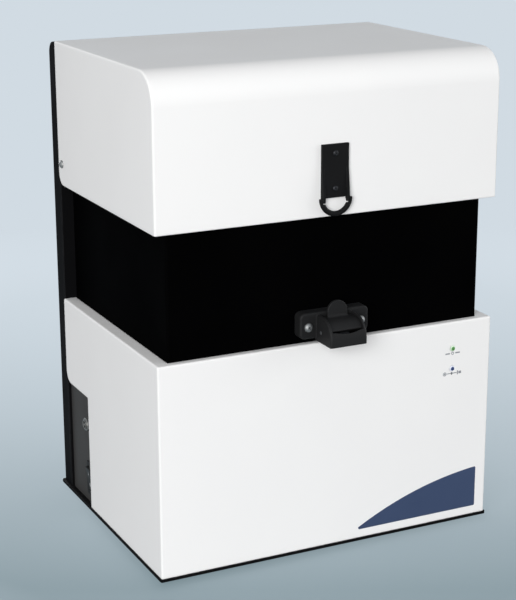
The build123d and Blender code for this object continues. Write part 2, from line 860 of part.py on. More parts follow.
# Integrating sphere: two hollow halves with flanges, hung from the stage by the upper neck
sphere_z = rim_bottom_z - sphere_drop - sphere_radius
sphere_inner = sphere_radius - sphere_wall
sphere_side = Plane(origin=(0, optics_y, sphere_z), x_dir=(1, 0, 0), z_dir=(0, -1, 0))
sphere_axis = Axis((0, optics_y, sphere_z), (0, 0, 1))


def sphere_half(up, neck, neck_end):
    """One hollow half of the sphere, with a neck round its port, ending at a height."""
    port_outer_z = math.sqrt(sphere_radius**2 - neck**2)
    port_inner_z = math.sqrt(sphere_inner**2 - port_radius**2)
    middle = math.sqrt(0.5)
    with BuildPart() as half:
        with BuildSketch(sphere_side):
            with BuildLine():
                Polyline(
                    (sphere_inner, 0),
                    (sphere_radius + sphere_flange, 0),
                    (sphere_radius + sphere_flange, up * sphere_flange_height),
                    (math.sqrt(sphere_radius**2 - sphere_flange_height**2),
                     up * sphere_flange_height),
                )
                ThreePointArc(
                    (math.sqrt(sphere_radius**2 - sphere_flange_height**2),
                     up * sphere_flange_height),
                    (sphere_radius * middle, up * sphere_radius * middle),
                    (neck, up * port_outer_z),
                )
                Polyline(
                    (neck, up * port_outer_z), (neck, neck_end), (port_radius, neck_end),
                    (port_radius, up * port_inner_z),
                )
                ThreePointArc(
                    (port_radius, up * port_inner_z),
                    (sphere_inner * middle, up * sphere_inner * middle),
                    (sphere_inner, 0),
                )
            make_face()
        revolve(axis=sphere_axis)
    return half


sphere_upper = sphere_half(1, neck_radius, sphere_radius + sphere_drop)
finish(sphere_upper, "sphere_upper")

lower_neck_end = -sphere_radius - lower_neck_reach
lower_shell = sphere_half(-1, lower_neck_radius, lower_neck_end)
detector_z = sphere_z - detector_drop
detector_reach = sphere_radius + detector_stand
detector_y = optics_y + detector_reach
with BuildPart() as sphere_lower:
    add(lower_shell.part)
    with BuildSketch(Plane.XZ.offset(-detector_y)):
        with Locations((0, detector_z)):
            Circle(detector_radius)
    extrude(amount=detector_boss)
    with BuildSketch(sphere_side):
        with BuildLine():
            CenterArc((0, 0), sphere_inner, -90, 90)
            Line((sphere_inner, 0), (0, 0))
            Line((0, 0), (0, -sphere_inner))
        make_face()
    revolve(axis=sphere_axis, mode=Mode.SUBTRACT)
    with BuildSketch(Plane.XZ.offset(-detector_y)):
        with Locations((0, detector_z)):
            Circle(detector_bore)
    extrude(amount=detector_reach, mode=Mode.SUBTRACT)
finish(sphere_lower, "sphere_lower")

# Detector: a tube on the sphere's side port with the photodiode board in its end
with BuildPart() as detector_housing:
    with BuildSketch(Plane.XZ.offset(-detector_y)):
        with Locations((0, detector_z)):
            Circle(detector_radius)
            Circle(detector_bore, mode=Mode.SUBTRACT)
    extrude(amount=-detector_length)
    with BuildSketch(Plane.XZ.offset(-detector_y - detector_length)):
        with Locations((0, detector_z)):
            Circle(detector_radius - detector_wall)
    extrude(amount=detector_length / 2, mode=Mode.SUBTRACT)
finish(detector_housing, "detector_housing")

with BuildPart() as detector_board:
    with BuildSketch(Plane.XZ.offset(-detector_y - detector_length / 2)):
        with Locations((0, detector_z)):
            Circle(detector_radius - detector_wall - screw_clearance)
    extrude(amount=-board_sheet)
    with BuildSketch(Plane.XZ.offset(-detector_y - detector_length / 2)):
        with Locations((0, detector_z)):
            Circle(diode_radius)
    extrude(amount=diode_height)
finish(detector_board, "detector_board")

# White standard on a swinging arm, which closes the lower port or opens it to the light trap
neck_bottom_z = sphere_z + lower_neck_end
standard_top_z = neck_bottom_z - standard_gap
standard_bottom_z = standard_top_z - standard_height
carrier_radius = standard_radius + carrier_wall
motor_x = -arm_length
motor_top_z = standard_bottom_z - motor_drop
with BuildPart() as shutter_arm:
    with BuildSketch(Plane.XY.offset(standard_bottom_z)):
        with Locations((0, optics_y)):
            Circle(carrier_radius)
        with Locations((motor_x, optics_y)):
            Circle(arm_hub_radius)
        with Locations((motor_x / 2, optics_y)):
            Rectangle(arm_length, arm_width)
        with Locations((0, optics_y)):
            Circle(standard_radius + pin_clearance, mode=Mode.SUBTRACT)
        with Locations((motor_x, optics_y)):
            Circle(arm_shaft_radius + pin_clearance, mode=Mode.SUBTRACT)
    extrude(amount=arm_height)
finish(shutter_arm, "shutter_arm")

with BuildPart() as white_standard:
    with BuildSketch(Plane.XY.offset(standard_bottom_z)):
        with Locations((0, optics_y)):
            Circle(standard_radius)
    extrude(amount=standard_height)
    chamfer(white_standard.edges().group_by(Axis.Z)[-1], small_chamfer)
finish(white_standard, "white_standard")

with BuildPart() as shutter_shaft:
    with BuildSketch(Plane.XY.offset(motor_top_z - motor_shaft_grip)):
        with Locations((motor_x, optics_y)):
            Circle(arm_shaft_radius)
    extrude(amount=standard_bottom_z + arm_height - motor_top_z + motor_shaft_grip)
finish(shutter_shaft, "shutter_shaft")

with BuildPart() as shutter_motor:
    with BuildSketch(Plane.XY.offset(floor_z)):
        with Locations((motor_x, optics_y)):
            Circle(motor_radius)
            Rectangle(motor_foot_width, motor_radius)
    extrude(amount=motor_foot_height)
    with BuildSketch(Plane.XY.offset(floor_z)):
        with Locations((motor_x, optics_y)):
            Circle(motor_radius)
    extrude(amount=motor_top_z - floor_z)
    with BuildSketch(Plane.XY.offset(motor_top_z)):
        with Locations((motor_x, optics_y)):
            Circle(arm_shaft_radius + pin_clearance)
    extrude(amount=-motor_shaft_grip - shaft_end_gap, mode=Mode.SUBTRACT)
finish(shutter_motor, "shutter_motor")

with BuildPart() as light_trap:
    trap_height = standard_bottom_z - trap_gap - floor_z
    trap_side = Plane(origin=(0, optics_y, floor_z), x_dir=(1, 0, 0), z_dir=(0, -1, 0))
    with BuildSketch(trap_side):
        with BuildLine():
            Polyline(
                (0, 0), (trap_radius, 0), (trap_radius, trap_height),
                (trap_radius - trap_wall, trap_height), (trap_radius - trap_wall, trap_wall),
                (trap_cone_radius, trap_wall), (0, trap_height - trap_cone_drop), close=True,
            )
        make_face()
    revolve(axis=Axis((0, optics_y, floor_z), (0, 0, 1)))
finish(light_trap, "light_trap")

# Hood: a front and two sides bent from one sheet, open at the back, the top and the bottom
catch_screw_spots = [(side * catch_screw_spread, catch_screw_z) for side in (-1, 1)]
hood_screw_hole = bright_screw[2] + screw_clearance
with BuildPart() as hood:
    with BuildSketch(Plane.XY.offset(hood_bottom_z)) as hood_profile:
        with Locations((0, (hood_front_y + hood_back_y) / 2)):
            Rectangle(2 * hood_half, hood_back_y - hood_front_y)
        fillet(hood_profile.vertices().group_by(Axis.Y)[0], hood_bend_radius)
        with Locations((0, (hood_front_y + hood_sheet + hood_back_y) / 2)):
            Rectangle(
                2 * hood_inner, hood_back_y - hood_front_y - hood_sheet, mode=Mode.SUBTRACT
            )
    extrude(amount=hood_top_z - hood_bottom_z)
    with BuildSketch(Plane.XZ.offset(-hood_front_y)):
        with Locations(*catch_screw_spots):
            Circle(hood_screw_hole)
    extrude(amount=-hood_sheet, mode=Mode.SUBTRACT)
finish(hood, "hood")

# Runners inside the hood's rear edges, with tongues that run in the grooves of the two rails
runner_y = rear_y - rail_depth / 2
with BuildPart() as hood_runners:
    with BuildSketch(Plane.XY.offset(runner_bottom_z)):
        for side in (-1, 1):
            with Locations((side * (hood_inner - runner_sheet / 2), runner_y)):
                Rectangle(runner_sheet, runner_width)
            with Locations((side * (hood_inner - runner_sheet - tongue_depth / 2), runner_y)):
                Rectangle(tongue_depth, tongue_width)
    extrude(amount=runner_top_z - runner_bottom_z)
finish(hood_runners, "hood_runners")

with BuildPart() as hood_rails:
    rail_bottom_z = stage_top_z + hood_gap
    groove_depth = tongue_depth - rail_gap + rail_groove_gap
    with BuildSketch(Plane.XY.offset(rail_bottom_z)):
        for side in (-1, 1):
            with Locations((side * rail_x, rear_y - rail_depth / 2)):
                Rectangle(rail_width, rail_depth)
            with Locations((side * (rail_x + rail_width / 2 - groove_depth / 2), runner_y)):
                Rectangle(
                    groove_depth, tongue_width + 2 * rail_groove_gap, mode=Mode.SUBTRACT
                )
    extrude(amount=rail_top_z - rail_bottom_z)
finish(hood_rails, "hood_rails")

# Upper shelf: bolted to the rear frame by its upturned rear edge, notched round the rails
shelf_front_y = hood_front_y + hood_sheet + shelf_side_gap
shelf_notch_y = rear_y - rail_depth - shelf_side_gap
shelf_tail_half = rail_x - rail_width / 2 - shelf_side_gap
with BuildPart() as upper_shelf:
    with BuildSketch(Plane.XY.offset(shelf_z)):
        with Locations((0, (shelf_front_y + shelf_notch_y) / 2)):
            Rectangle(2 * shelf_half, shelf_notch_y - shelf_front_y)
        with Locations((0, shelf_notch_y)):
            Rectangle(
                2 * shelf_tail_half, rear_y - shelf_notch_y, align=(Align.CENTER, Align.MIN)
            )
        with Locations((0, optics_y)):
            Circle(barrel_radius + screw_clearance, mode=Mode.SUBTRACT)
    extrude(amount=shelf_sheet)
    with BuildSketch(Plane.XY.offset(shelf_top_z)):
        for side in (-1, 1):
            with Locations((side * (shelf_half - shelf_sheet / 2), shelf_notch_y)):
                Rectangle(
                    shelf_sheet, shelf_notch_y - shelf_front_y, align=(Align.CENTER, Align.MAX)
                )
    extrude(amount=shelf_flange)
    with BuildSketch(Plane.XZ.offset(-rear_y)):
        with Locations((0, shelf_top_z)):
            Rectangle(
                2 * shelf_tail_half, shelf_rear_flange, align=(Align.CENTER, Align.MIN)
            )
        with Locations(*shelf_screw_spots):
            Circle(side_screw[2] + screw_clearance, mode=Mode.SUBTRACT)
    extrude(amount=shelf_sheet)
finish(upper_shelf, "upper_shelf")

shelf_screws = pan_screws(
    [facing(x, rear_y - shelf_sheet, z, (0, -1, 0)) for x, z in shelf_screw_spots],
    side_screw,
    shelf_sheet + frame_sheet,
)
finish(shelf_screws, "shelf_screws")

# Lens barrel through the shelf, with seats for two lenses and the aperture between them
barrel_bottom_z = shelf_z - barrel_drop
barrel_top_z = shelf_top_z + barrel_height
barrel_bore = barrel_radius - barrel_wall
lens_seat = barrel_bore - lens_shoulder
barrel_side = Plane(origin=(0, optics_y, 0), x_dir=(1, 0, 0), z_dir=(0, -1, 0))
optics_axis = Axis((0, optics_y, 0), (0, 0, 1))
aperture_z = shelf_top_z + barrel_flange_height
with BuildPart() as lens_barrel:
    with BuildSketch(barrel_side):
        with BuildLine():
            Polyline(
                (lens_seat, barrel_bottom_z),
                (barrel_radius, barrel_bottom_z),
                (barrel_radius, shelf_top_z),
                (barrel_flange_radius, shelf_top_z),
                (barrel_flange_radius, aperture_z),
                (barrel_radius, aperture_z),
                (barrel_radius, barrel_top_z),
                (barrel_bore, barrel_top_z),
                (barrel_bore, aperture_z),
                (lens_seat, aperture_z),
                (lens_seat, shelf_z),
                (barrel_bore, shelf_z),
                (barrel_bore, barrel_bottom_z + lens_shoulder),
                (lens_seat, barrel_bottom_z + lens_shoulder),
                close=True,
            )
        make_face()
    revolve(axis=optics_axis)
finish(lens_barrel, "lens_barrel")


def round_lens(edge_z):
    """A lens with two curved faces and a straight edge, resting at a height in the barrel."""
    lens_radius = barrel_bore - screw_clearance
    middle_z = edge_z + lens_crown + lens_edge / 2
    low, high = middle_z - lens_edge / 2, middle_z + lens_edge / 2
    with BuildPart() as lens:
        with BuildSketch(barrel_side):
            with BuildLine():
                Line((lens_radius, low), (lens_radius, high))
                TangentArc((0, high + lens_crown), (lens_radius, high), tangent=(1, 0))
                Line((0, high + lens_crown), (0, low - lens_crown))
                TangentArc((0, low - lens_crown), (lens_radius, low), tangent=(1, 0))
            make_face()
        revolve(axis=optics_axis)
    return lens


objective_lens = round_lens(barrel_bottom_z + lens_shoulder)
finish(objective_lens, "objective_lens")
condenser_lens = round_lens(barrel_top_z - 2 * lens_crown - lens_edge - lamp_chip)
finish(condenser_lens, "condenser_lens")

with BuildPart() as aperture_disc:
    with BuildSketch(Plane.XY.offset(aperture_z)):
        with Locations((0, optics_y)):
            Circle(barrel_bore - screw_clearance)
            Circle(aperture_bore, mode=Mode.SUBTRACT)
    extrude(amount=aperture_sheet)
finish(aperture_disc, "aperture_disc")

# Lamp module on the barrel, with the light chip facing down, and the finned heat sink on it
with BuildPart() as lamp_module:
    with BuildSketch(Plane.XY.offset(barrel_top_z)):
        with Locations((0, optics_y)):
            Circle(barrel_radius)
    extrude(amount=lamp_module_height)
    with BuildSketch(Plane.XY.offset(barrel_top_z)):
        with Locations((0, optics_y)):
            Rectangle(lamp_chip, lamp_chip)
    extrude(amount=-lamp_chip / 2)
finish(lamp_module, "lamp_module")

sink_z = barrel_top_z + lamp_module_height
with BuildPart() as heat_sink:
    with BuildSketch(Plane.XY.offset(sink_z)):
        with Locations((0, optics_y)):
            Rectangle(sink_width, sink_width)
    extrude(amount=sink_base)
    with BuildSketch(Plane.XY.offset(sink_z + sink_base)):
        with Locations((0, optics_y)):
            with GridLocations((sink_width - sink_fin) / (sink_fins - 1), 0, sink_fins, 1):
                Rectangle(sink_fin, sink_width)
    extrude(amount=sink_height - sink_base)
finish(heat_sink, "heat_sink")

# Boards: the driver board on the shelf and the main board on the base plate, on short spacers
def board_pieces(x, y, z, width, depth, chips):
    """A board with its parts, and its four spacers, standing on a level."""
    spots = [
        (x + i * (width / 2 - board_hole_inset), y + j * (depth / 2 - board_hole_inset))
        for i in (-1, 1)
        for j in (-1, 1)
    ]
    with BuildPart() as spacers:
        with BuildSketch(Plane.XY.offset(z)):
            with Locations(*spots):
                RegularPolygon(board_spacer_radius, 6)
        extrude(amount=board_spacer)
    with BuildPart() as board:
        with BuildSketch(Plane.XY.offset(z + board_spacer)):
            with Locations((x, y)):
                Rectangle(width, depth)
        extrude(amount=board_sheet)
        for chip_x, chip_y, chip_width, chip_depth, chip_height in chips:
            with BuildSketch(Plane.XY.offset(z + board_spacer + board_sheet)):
                with Locations((x + chip_x * width, y + chip_y * depth)):
                    Rectangle(chip_width * width, chip_depth * depth)
            extrude(amount=chip_height)
    return board, spacers


# Each chip: place as a share of the board's width and depth, its width and depth likewise, height
driver_chips = [(-0.2, 0.25, 0.3, 0.2, 9), (0.22, 0.1, 0.25, 0.3, 4), (0, -0.3, 0.5, 0.15, 12)]
driver_board, driver_spacers = board_pieces(
    driver_board_inset - shelf_half, optics_y, shelf_top_z,
    driver_board_width, driver_board_depth, driver_chips,
)
finish(driver_board, "driver_board")
finish(driver_spacers, "driver_spacers")

main_chips = [(0, 0, 0.35, 0.22, 3), (-0.25, 0.36, 0.3, 0.12, 11), (0.25, -0.36, 0.3, 0.1, 9)]
main_board, main_spacers = board_pieces(
    half_width - main_board_inset, optics_y, floor_z,
    main_board_width, main_board_depth, main_chips,
)
finish(main_board, "main_board")
finish(main_spacers, "main_spacers")

# Nose of the catch: a block with a round crown, its side edges rounded from the crown to the bottom
with BuildPart() as catch_nose:
    with BuildSketch(Plane.YZ.offset(-nose_half_width)):
        with BuildLine():
            crown = CenterArc((crown_y, crown_z), nose_round, 90, 90)
            Polyline(
                crown @ 1,
                (nose_front_y, nose_bottom_z),
                (catch_front_y + nose_wall, nose_bottom_z),
                (catch_front_y + nose_wall, nose_top_z),
                crown @ 0,
            )
        make_face()
    extrude(amount=2 * nose_half_width)
    for side_face in (catch_nose.faces().sort_by(Axis.X)[0], catch_nose.faces().sort_by(Axis.X)[-1]):
        fillet(side_face.edges().sort_by(Axis.Y)[:-1].sort_by(Axis.Z)[1:], nose_edge)

# Catch housing: a plate on the hood and the nose, hollowed to two cheeks, a floor and a scooped front lip
with BuildPart() as catch_housing:
    with BuildSketch(Plane.XZ.offset(-hood_front_y)):
        with Locations((0, catch_middle_z)):
            RectangleRounded(2 * catch_half_width, catch_height, catch_corner_radius)
    extrude(amount=hood_front_y - catch_front_y)
    fillet(
        catch_housing.faces().sort_by(Axis.Y)[0].edges(), catch_edge_radius
    )
    add(catch_nose.part)
    with BuildSketch(Plane.XY.offset(nose_bottom_z + nose_floor)):
        with Locations((0, nose_front_y + nose_wall)):
            Rectangle(
                2 * (nose_half_width - nose_wall), nose_reach - nose_wall - catch_reach,
                align=(Align.CENTER, Align.MIN),
            )
    extrude(amount=2 * catch_height, mode=Mode.SUBTRACT)
    with BuildSketch(Plane.XZ.offset(-nose_front_y)):
        with Locations((0, nose_bottom_z + lip_height)):
            Rectangle(
                2 * (nose_half_width - nose_wall), catch_height,
                align=(Align.CENTER, Align.MIN),
            )
        with Locations((0, nose_bottom_z + lip_height + lip_scoop_radius - lip_scoop_depth)):
            Circle(lip_scoop_radius)
    extrude(amount=-nose_wall, mode=Mode.SUBTRACT)
    with BuildSketch(Plane.YZ.offset(-nose_half_width)):
        with Locations((pin_y, pin_z)):
            Circle(pin_radius)
    extrude(amount=2 * nose_half_width, mode=Mode.SUBTRACT)
    with BuildSketch(Plane.XZ.offset(-hood_front_y)):
        with Locations(*catch_screw_spots):
            Circle(hood_screw_hole)
    extrude(amount=hood_front_y - catch_front_y, mode=Mode.SUBTRACT)
finish(catch_housing, "catch_housing")

catch_screws = pan_screws(
    [facing(x, catch_front_y, z, (0, -1, 0)) for x, z in catch_screw_spots],
    bright_screw,
    hood_front_y - catch_front_y + hood_sheet + nut_height,
)
finish(catch_screws, "catch_screws")

with BuildPart() as catch_nuts:
    with BuildSketch(Plane.XZ.offset(-hood_front_y - hood_sheet)):
        with Locations(*catch_screw_spots):
            RegularPolygon(nut_radius, 6)
        with Locations(*catch_screw_spots):
            Circle(bright_screw[2], mode=Mode.SUBTRACT)
    extrude(amount=-nut_height)
finish(catch_nuts, "catch_nuts")

with BuildPart() as catch_pin:
    with BuildSketch(Plane.YZ.offset(-nose_half_width)):
        with Locations((pin_y, pin_z)):
            Circle(pin_radius)
    extrude(amount=2 * nose_half_width)
finish(catch_pin, "catch_pin")

# Catch lever: a round thumb pad in front of the pin, tongue above it, nib behind the tongue's top
lever_back_y = ring_y - ring_wire - hood_gap
lever_front_y = lever_back_y - lever_sheet
lever_half = nose_half_width - nose_wall - lever_gap
pad_radius = nose_round - pad_recess
pad_top_z = crown_z + pad_radius
pad_y = crown_y - pad_radius * math.sin(math.radians(pad_sweep))
pad_z = crown_z + pad_radius * math.cos(math.radians(pad_sweep))
tongue_top_z = catch_top_z + tongue_top
nib_top_z = tongue_top_z - nib_drop + nib_height
with BuildPart() as catch_lever:
    with BuildSketch(Plane.YZ.offset(-lever_half)):
        with BuildLine():
            pad = CenterArc((crown_y, crown_z), pad_radius, 90, pad_sweep)
            Polyline(
                pad @ 1,
                (pad_y, pad_z - pad_edge),
                (pad_y + pad_undercut, pad_z - lever_sheet),
                (pin_y, pin_z - lever_hub_radius),
                (pin_y + lever_hub_radius, pin_z),
                (lever_back_y, pin_z + lever_hub_radius),
                (lever_back_y, pad_top_z),
                pad @ 0,
            )
        make_face()
        with Locations((pin_y, pin_z)):
            Circle(lever_hub_radius)
            Circle(pin_radius + pin_clearance, mode=Mode.SUBTRACT)
    extrude(amount=2 * lever_half)
    with BuildSketch(Plane.XZ.offset(-lever_back_y)):
        with Locations((0, tongue_top_z - tongue_radius)):
            Circle(tongue_radius)
            Rectangle(
                2 * tongue_radius, tongue_top_z - tongue_radius - pad_top_z + lever_sheet,
                align=(Align.CENTER, Align.MAX),
            )
    extrude(amount=lever_sheet)
    tongue_foot = catch_lever.edges().filter_by(Axis.X).filter_by_position(
        Axis.Z, pad_top_z - nearby, pad_top_z + nearby
    )
    fillet(
        tongue_foot.filter_by_position(Axis.Y, lever_front_y - nearby, lever_front_y + nearby),
        lever_fillet,
    )
    with BuildSketch(Plane.YZ.offset(-nib_half_width)):
        with BuildLine():
            Polyline(
                (lever_back_y, nib_top_z - nib_height),
                (lever_back_y + nib_depth, nib_top_z - nib_height),
                (lever_back_y + nib_depth, nib_top_z - nib_height + nib_edge),
                (lever_back_y, nib_top_z),
                close=True,
            )
        make_face()
    extrude(amount=2 * nib_half_width)
finish(catch_lever, "catch_lever")

# Leaf spring under the thumb pad, bent up from the floor of the nose
floor_top_z = nose_bottom_z + nose_floor
spring_front_y = nose_front_y + nose_wall + hood_gap
spring_back_y = pin_y - lever_hub_radius
with BuildPart() as catch_spring:
    with BuildSketch(Plane.YZ.offset(-spring_half_width)):
        with BuildLine():
            Polyline(
                (spring_back_y, floor_top_z + spring_sheet / 2),
                (spring_front_y + spring_bend, floor_top_z + spring_sheet / 2),
                (pad_y + pad_undercut + spring_bend, pad_z - lever_sheet - spring_drop),
            )
            offset(amount=spring_sheet / 2, side=Side.BOTH)
        make_face()
    extrude(amount=2 * spring_half_width)
finish(catch_spring, "catch_spring")

# Ring plate: a flat strip on the upper cover with two ears bent forward for the ring's pins
plate_front_y = front_y - plate_sheet
ear_front_y = ring_y - ear_tip_radius + pin_clearance
with BuildPart() as ring_plate:
    with BuildSketch(Plane.XZ.offset(-front_y)):
        with Locations((0, plate_bottom_z)):
            Rectangle(
                2 * plate_half_width, plate_height, align=(Align.CENTER, Align.MIN)
            )
        with Locations(*plate_screw_spots):
            Circle(small_screw[2] + screw_clearance, mode=Mode.SUBTRACT)
    extrude(amount=plate_sheet)
    for side in (-1, 1):
        ear_x = side * (plate_half_width - ear_strip / 2) - ear_strip / 2
        with BuildSketch(Plane.YZ.offset(ear_x)):
            with BuildLine():
                Polyline(
                    (plate_front_y, plate_bottom_z + ear_run),
                    (ear_front_y, ring_pivot_z),
                    (front_y - hood_gap, ring_pivot_z),
                    (front_y - hood_gap, plate_bottom_z),
                    (plate_front_y, plate_bottom_z + ear_foot),
                    close=True,
                )
            make_face()
            with Locations((ring_y, ring_pivot_z)):
                Circle(ear_tip_radius)
                Circle(ring_pin_radius + pin_clearance, mode=Mode.SUBTRACT)
        extrude(amount=ear_strip)
finish(ring_plate, "ring_plate")

ring_plate_screws = pan_screws(
    [facing(x, plate_front_y, z, (0, -1, 0)) for x, z in plate_screw_spots],
    small_screw,
    plate_sheet + 2 * cover_sheet,
)
finish(ring_plate_screws, "ring_plate_screws")

# Hanging ring: half a ring of round wire, its ends flattened beside the ears, with inward pins
with BuildPart() as keeper_ring:
    with BuildSketch(Plane(origin=(ring_radius, ring_y, ring_z), x_dir=(1, 0, 0), z_dir=(0, 0, 1))):
        Circle(ring_wire)
    revolve(axis=Axis((0, ring_y, ring_z), (0, 1, 0)), revolution_arc=180)
    flat_bottom_z = ring_pivot_z - ring_flat_length
    with BuildSketch(Plane.XY.offset(flat_bottom_z)):
        with Locations((0, ring_y)):
            Rectangle(2 * (plate_half_width + ring_ear_gap), 2 * ring_radius)
    extrude(amount=ring_radius, mode=Mode.SUBTRACT)
    for side in (-1, 1):
        with BuildSketch(Plane.YZ.offset(side * (plate_half_width - ear_strip))):
            with Locations((ring_y, ring_pivot_z)):
                Circle(ring_pin_radius)
        extrude(amount=side * (ear_strip + ring_ear_gap + ring_pin_root))
finish(keeper_ring, "keeper_ring")
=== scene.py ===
"""Looks of the haze meter: finishes for its solids, cross-recess screws, the front label and the small
printed marks, on a pale floor under soft studio light."""

import itertools
import json
import math

import bmesh
import bpy
from mathutils import Matrix, Vector


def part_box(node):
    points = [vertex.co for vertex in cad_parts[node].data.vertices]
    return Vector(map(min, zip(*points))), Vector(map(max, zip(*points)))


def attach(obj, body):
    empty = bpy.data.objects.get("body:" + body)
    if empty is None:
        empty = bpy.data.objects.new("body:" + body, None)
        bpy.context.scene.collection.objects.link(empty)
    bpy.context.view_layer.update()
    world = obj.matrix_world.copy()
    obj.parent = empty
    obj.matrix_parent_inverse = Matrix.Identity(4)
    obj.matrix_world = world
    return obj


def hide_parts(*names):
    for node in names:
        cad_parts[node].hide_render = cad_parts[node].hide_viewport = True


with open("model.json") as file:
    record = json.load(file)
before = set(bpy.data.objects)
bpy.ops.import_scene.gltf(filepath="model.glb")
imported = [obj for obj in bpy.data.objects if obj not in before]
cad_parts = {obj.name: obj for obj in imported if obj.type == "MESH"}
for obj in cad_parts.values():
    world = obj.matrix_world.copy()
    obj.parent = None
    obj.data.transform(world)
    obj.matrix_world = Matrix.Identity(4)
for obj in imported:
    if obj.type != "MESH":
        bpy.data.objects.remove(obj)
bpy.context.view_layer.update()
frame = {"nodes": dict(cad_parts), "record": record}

FULL_TURN = 2 * math.pi
LEFT, RIGHT = (-1, 0, 0), (1, 0, 0)
FRONT, BACK = (0, -1, 0), (0, 1, 0)
UP, DOWN = (0, 0, 1), (0, 0, -1)


def middle(node):
    """The middle of a CAD node's box."""
    low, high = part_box(node)
    return (low + high) / 2


# Places on the haze meter, in metres
cover_low, cover_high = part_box("lower_cover")
HALF_WIDTH = cover_high.x
FRONT_Y = cover_low.y
POWER_LAMP = middle("power_lamp_lens")
MEASURE_LAMP = middle("measure_lamp_lens")

# The camera stands where the photograph was taken from, measured from the cover's lower front left
CAMERA_PLACE = (-HALF_WIDTH - 0.437514, FRONT_Y - 1.068241, cover_low.z + 0.564599)
CAMERA_HEADING = math.radians(26.0613)
CAMERA_DROP = math.radians(16.2456)
CAMERA_ROLL = math.radians(-0.1828)
CAMERA_LENS_MM = 96.37


# Node tools


def connect(tree, value, socket):
    """Feeds a socket from another node's output, or sets its value."""
    if isinstance(value, bpy.types.NodeSocket):
        tree.links.new(value, socket)
    else:
        socket.default_value = value


def add_node(tree, kind, **sockets):
    """A new node. Each keyword is a socket's name, and gives its value or the output that feeds it."""
    node = tree.nodes.new(kind)
    feed_sockets(tree, node, sockets)
    return node


def feed_sockets(tree, node, sockets):
    """Connects a node's sockets by their names, in which a line stands for a space."""
    for name, value in sockets.items():
        connect(tree, value, node.inputs[name.replace("_", " ")])


def calculate(tree, operation, first, second):
    """The output of a Math node."""
    node = tree.nodes.new("ShaderNodeMath")
    node.operation = operation
    connect(tree, first, node.inputs[0])
    connect(tree, second, node.inputs[1])
    return node.outputs["Value"]


def spread(tree, value, low, high, start=0.0, end=1.0):
    """A value that runs from start to end while the given one runs from low to high."""
    node = add_node(
        tree, "ShaderNodeMapRange",
        Value=value, From_Min=low, From_Max=high, To_Min=start, To_Max=end,
    )
    return node.outputs["Result"]


def blend_colours(tree, factor, first, second):
    """The colour between two others."""
    node = tree.nodes.new("ShaderNodeMix")
    node.data_type = "RGBA"
    connect(tree, factor, node.inputs["Factor"])
    for socket, colour in zip([s for s in node.inputs if s.type == "RGBA"], (first, second)):
        connect(tree, (*colour, 1.0) if isinstance(colour, tuple) else colour, socket)
    return next(s for s in node.outputs if s.type == "RGBA")


def noise(tree, place, scale, detail=2.0):
    """The value of a noise pattern."""
    node = add_node(tree, "ShaderNodeTexNoise", Vector=place, Scale=scale, Detail=detail)
    return node.outputs["Fac"]


def new_group(name, inputs, outputs):
    """A shader node group with named sockets, and its input and output nodes."""
    group = bpy.data.node_groups.new(name, "ShaderNodeTree")
    for way, sockets in (("INPUT", inputs), ("OUTPUT", outputs)):
        for label, kind in sockets.items():
            group.interface.new_socket(name=label, in_out=way, socket_type="NodeSocket" + kind)
    return group, group.nodes.new("NodeGroupInput"), group.nodes.new("NodeGroupOutput")


def use_group(tree, group, **sockets):
    """A shared group placed in a material."""
    node = tree.nodes.new("ShaderNodeGroup")
    node.node_tree = group
    feed_sockets(tree, node, sockets)
    return node.outputs


# Effects that several finishes share


def coat_grain_group():
    """The fine grain of a coat or a moulding, and the broad clouds in its tone."""
    group, given, made = new_group(
        "coat_grain",
        {"Place": "Vector", "Grain Scale": "Float", "Cloud Scale": "Float"},
        {"Grain": "Float", "Cloud": "Float"},
    )
    grain = noise(group, given.outputs["Place"], given.outputs["Grain Scale"], detail=3.0)
    cloud = noise(group, given.outputs["Place"], given.outputs["Cloud Scale"])
    connect(group, grain, made.inputs["Grain"])
    connect(group, spread(group, cloud, low=0.35, high=0.65), made.inputs["Cloud"])
    return group


def edge_wear_and_highlight_group():
    """How near a point is to an edge, broken up as rubbed edges are, which finishes use for wear and for
    a painted edge highlight, and the normal of the eased edge.
    """
    group, given, made = new_group(
        "edge_wear_and_highlight", {"Place": "Vector", "Reach": "Float"}, {"Edge": "Float", "Eased": "Vector"}
    )
    rounded = add_node(group, "ShaderNodeBevel", Radius=given.outputs["Reach"])
    flat = group.nodes.new("ShaderNodeNewGeometry")
    match = group.nodes.new("ShaderNodeVectorMath")
    match.operation = "DOT_PRODUCT"
    connect(group, rounded.outputs["Normal"], match.inputs[0])
    connect(group, flat.outputs["Normal"], match.inputs[1])
    turned = spread(group, match.outputs["Value"], low=0.985, high=0.8)
    rubbing = noise(group, given.outputs["Place"], scale=160.0)
    rubbed_and_highlit = spread(group, rubbing, low=0.3, high=0.6, start=0.35)
    # The edge mask, which lightens edges partly as wear and partly as a painted highlight
    connect(group, calculate(group, "MULTIPLY", turned, rubbed_and_highlit), made.inputs["Edge"])
    connect(group, rounded.outputs["Normal"], made.inputs["Eased"])
    return group


def settled_dust_group():
    """Thin dust on the faces that look up."""
    group, given, made = new_group(
        "settled_dust", {"Place": "Vector", "Amount": "Float"}, {"Dust": "Float"}
    )
    geometry = group.nodes.new("ShaderNodeNewGeometry")
    split = add_node(group, "ShaderNodeSeparateXYZ", Vector=geometry.outputs["Normal"])
    upward = spread(group, split.outputs["Z"], low=0.5, high=1.0)
    specks = noise(group, given.outputs["Place"], scale=420.0, detail=6.0)
    on_top = calculate(group, "MULTIPLY", upward, spread(group, specks, low=0.45, high=0.75))
    dust = calculate(group, "MULTIPLY", on_top, given.outputs["Amount"])
    connect(group, dust, made.inputs["Dust"])
    return group


def drawn_lines_group():
    """Fine lines left by turning, drawing or brushing. The material stretches the place along them."""
    group, given, made = new_group(
        "drawn_lines", {"Place": "Vector", "Line Scale": "Float"}, {"Lines": "Float"}
    )
    lines = noise(group, given.outputs["Place"], given.outputs["Line Scale"], detail=5.0)
    connect(group, spread(group, lines, low=0.3, high=0.7), made.inputs["Lines"])
    return group


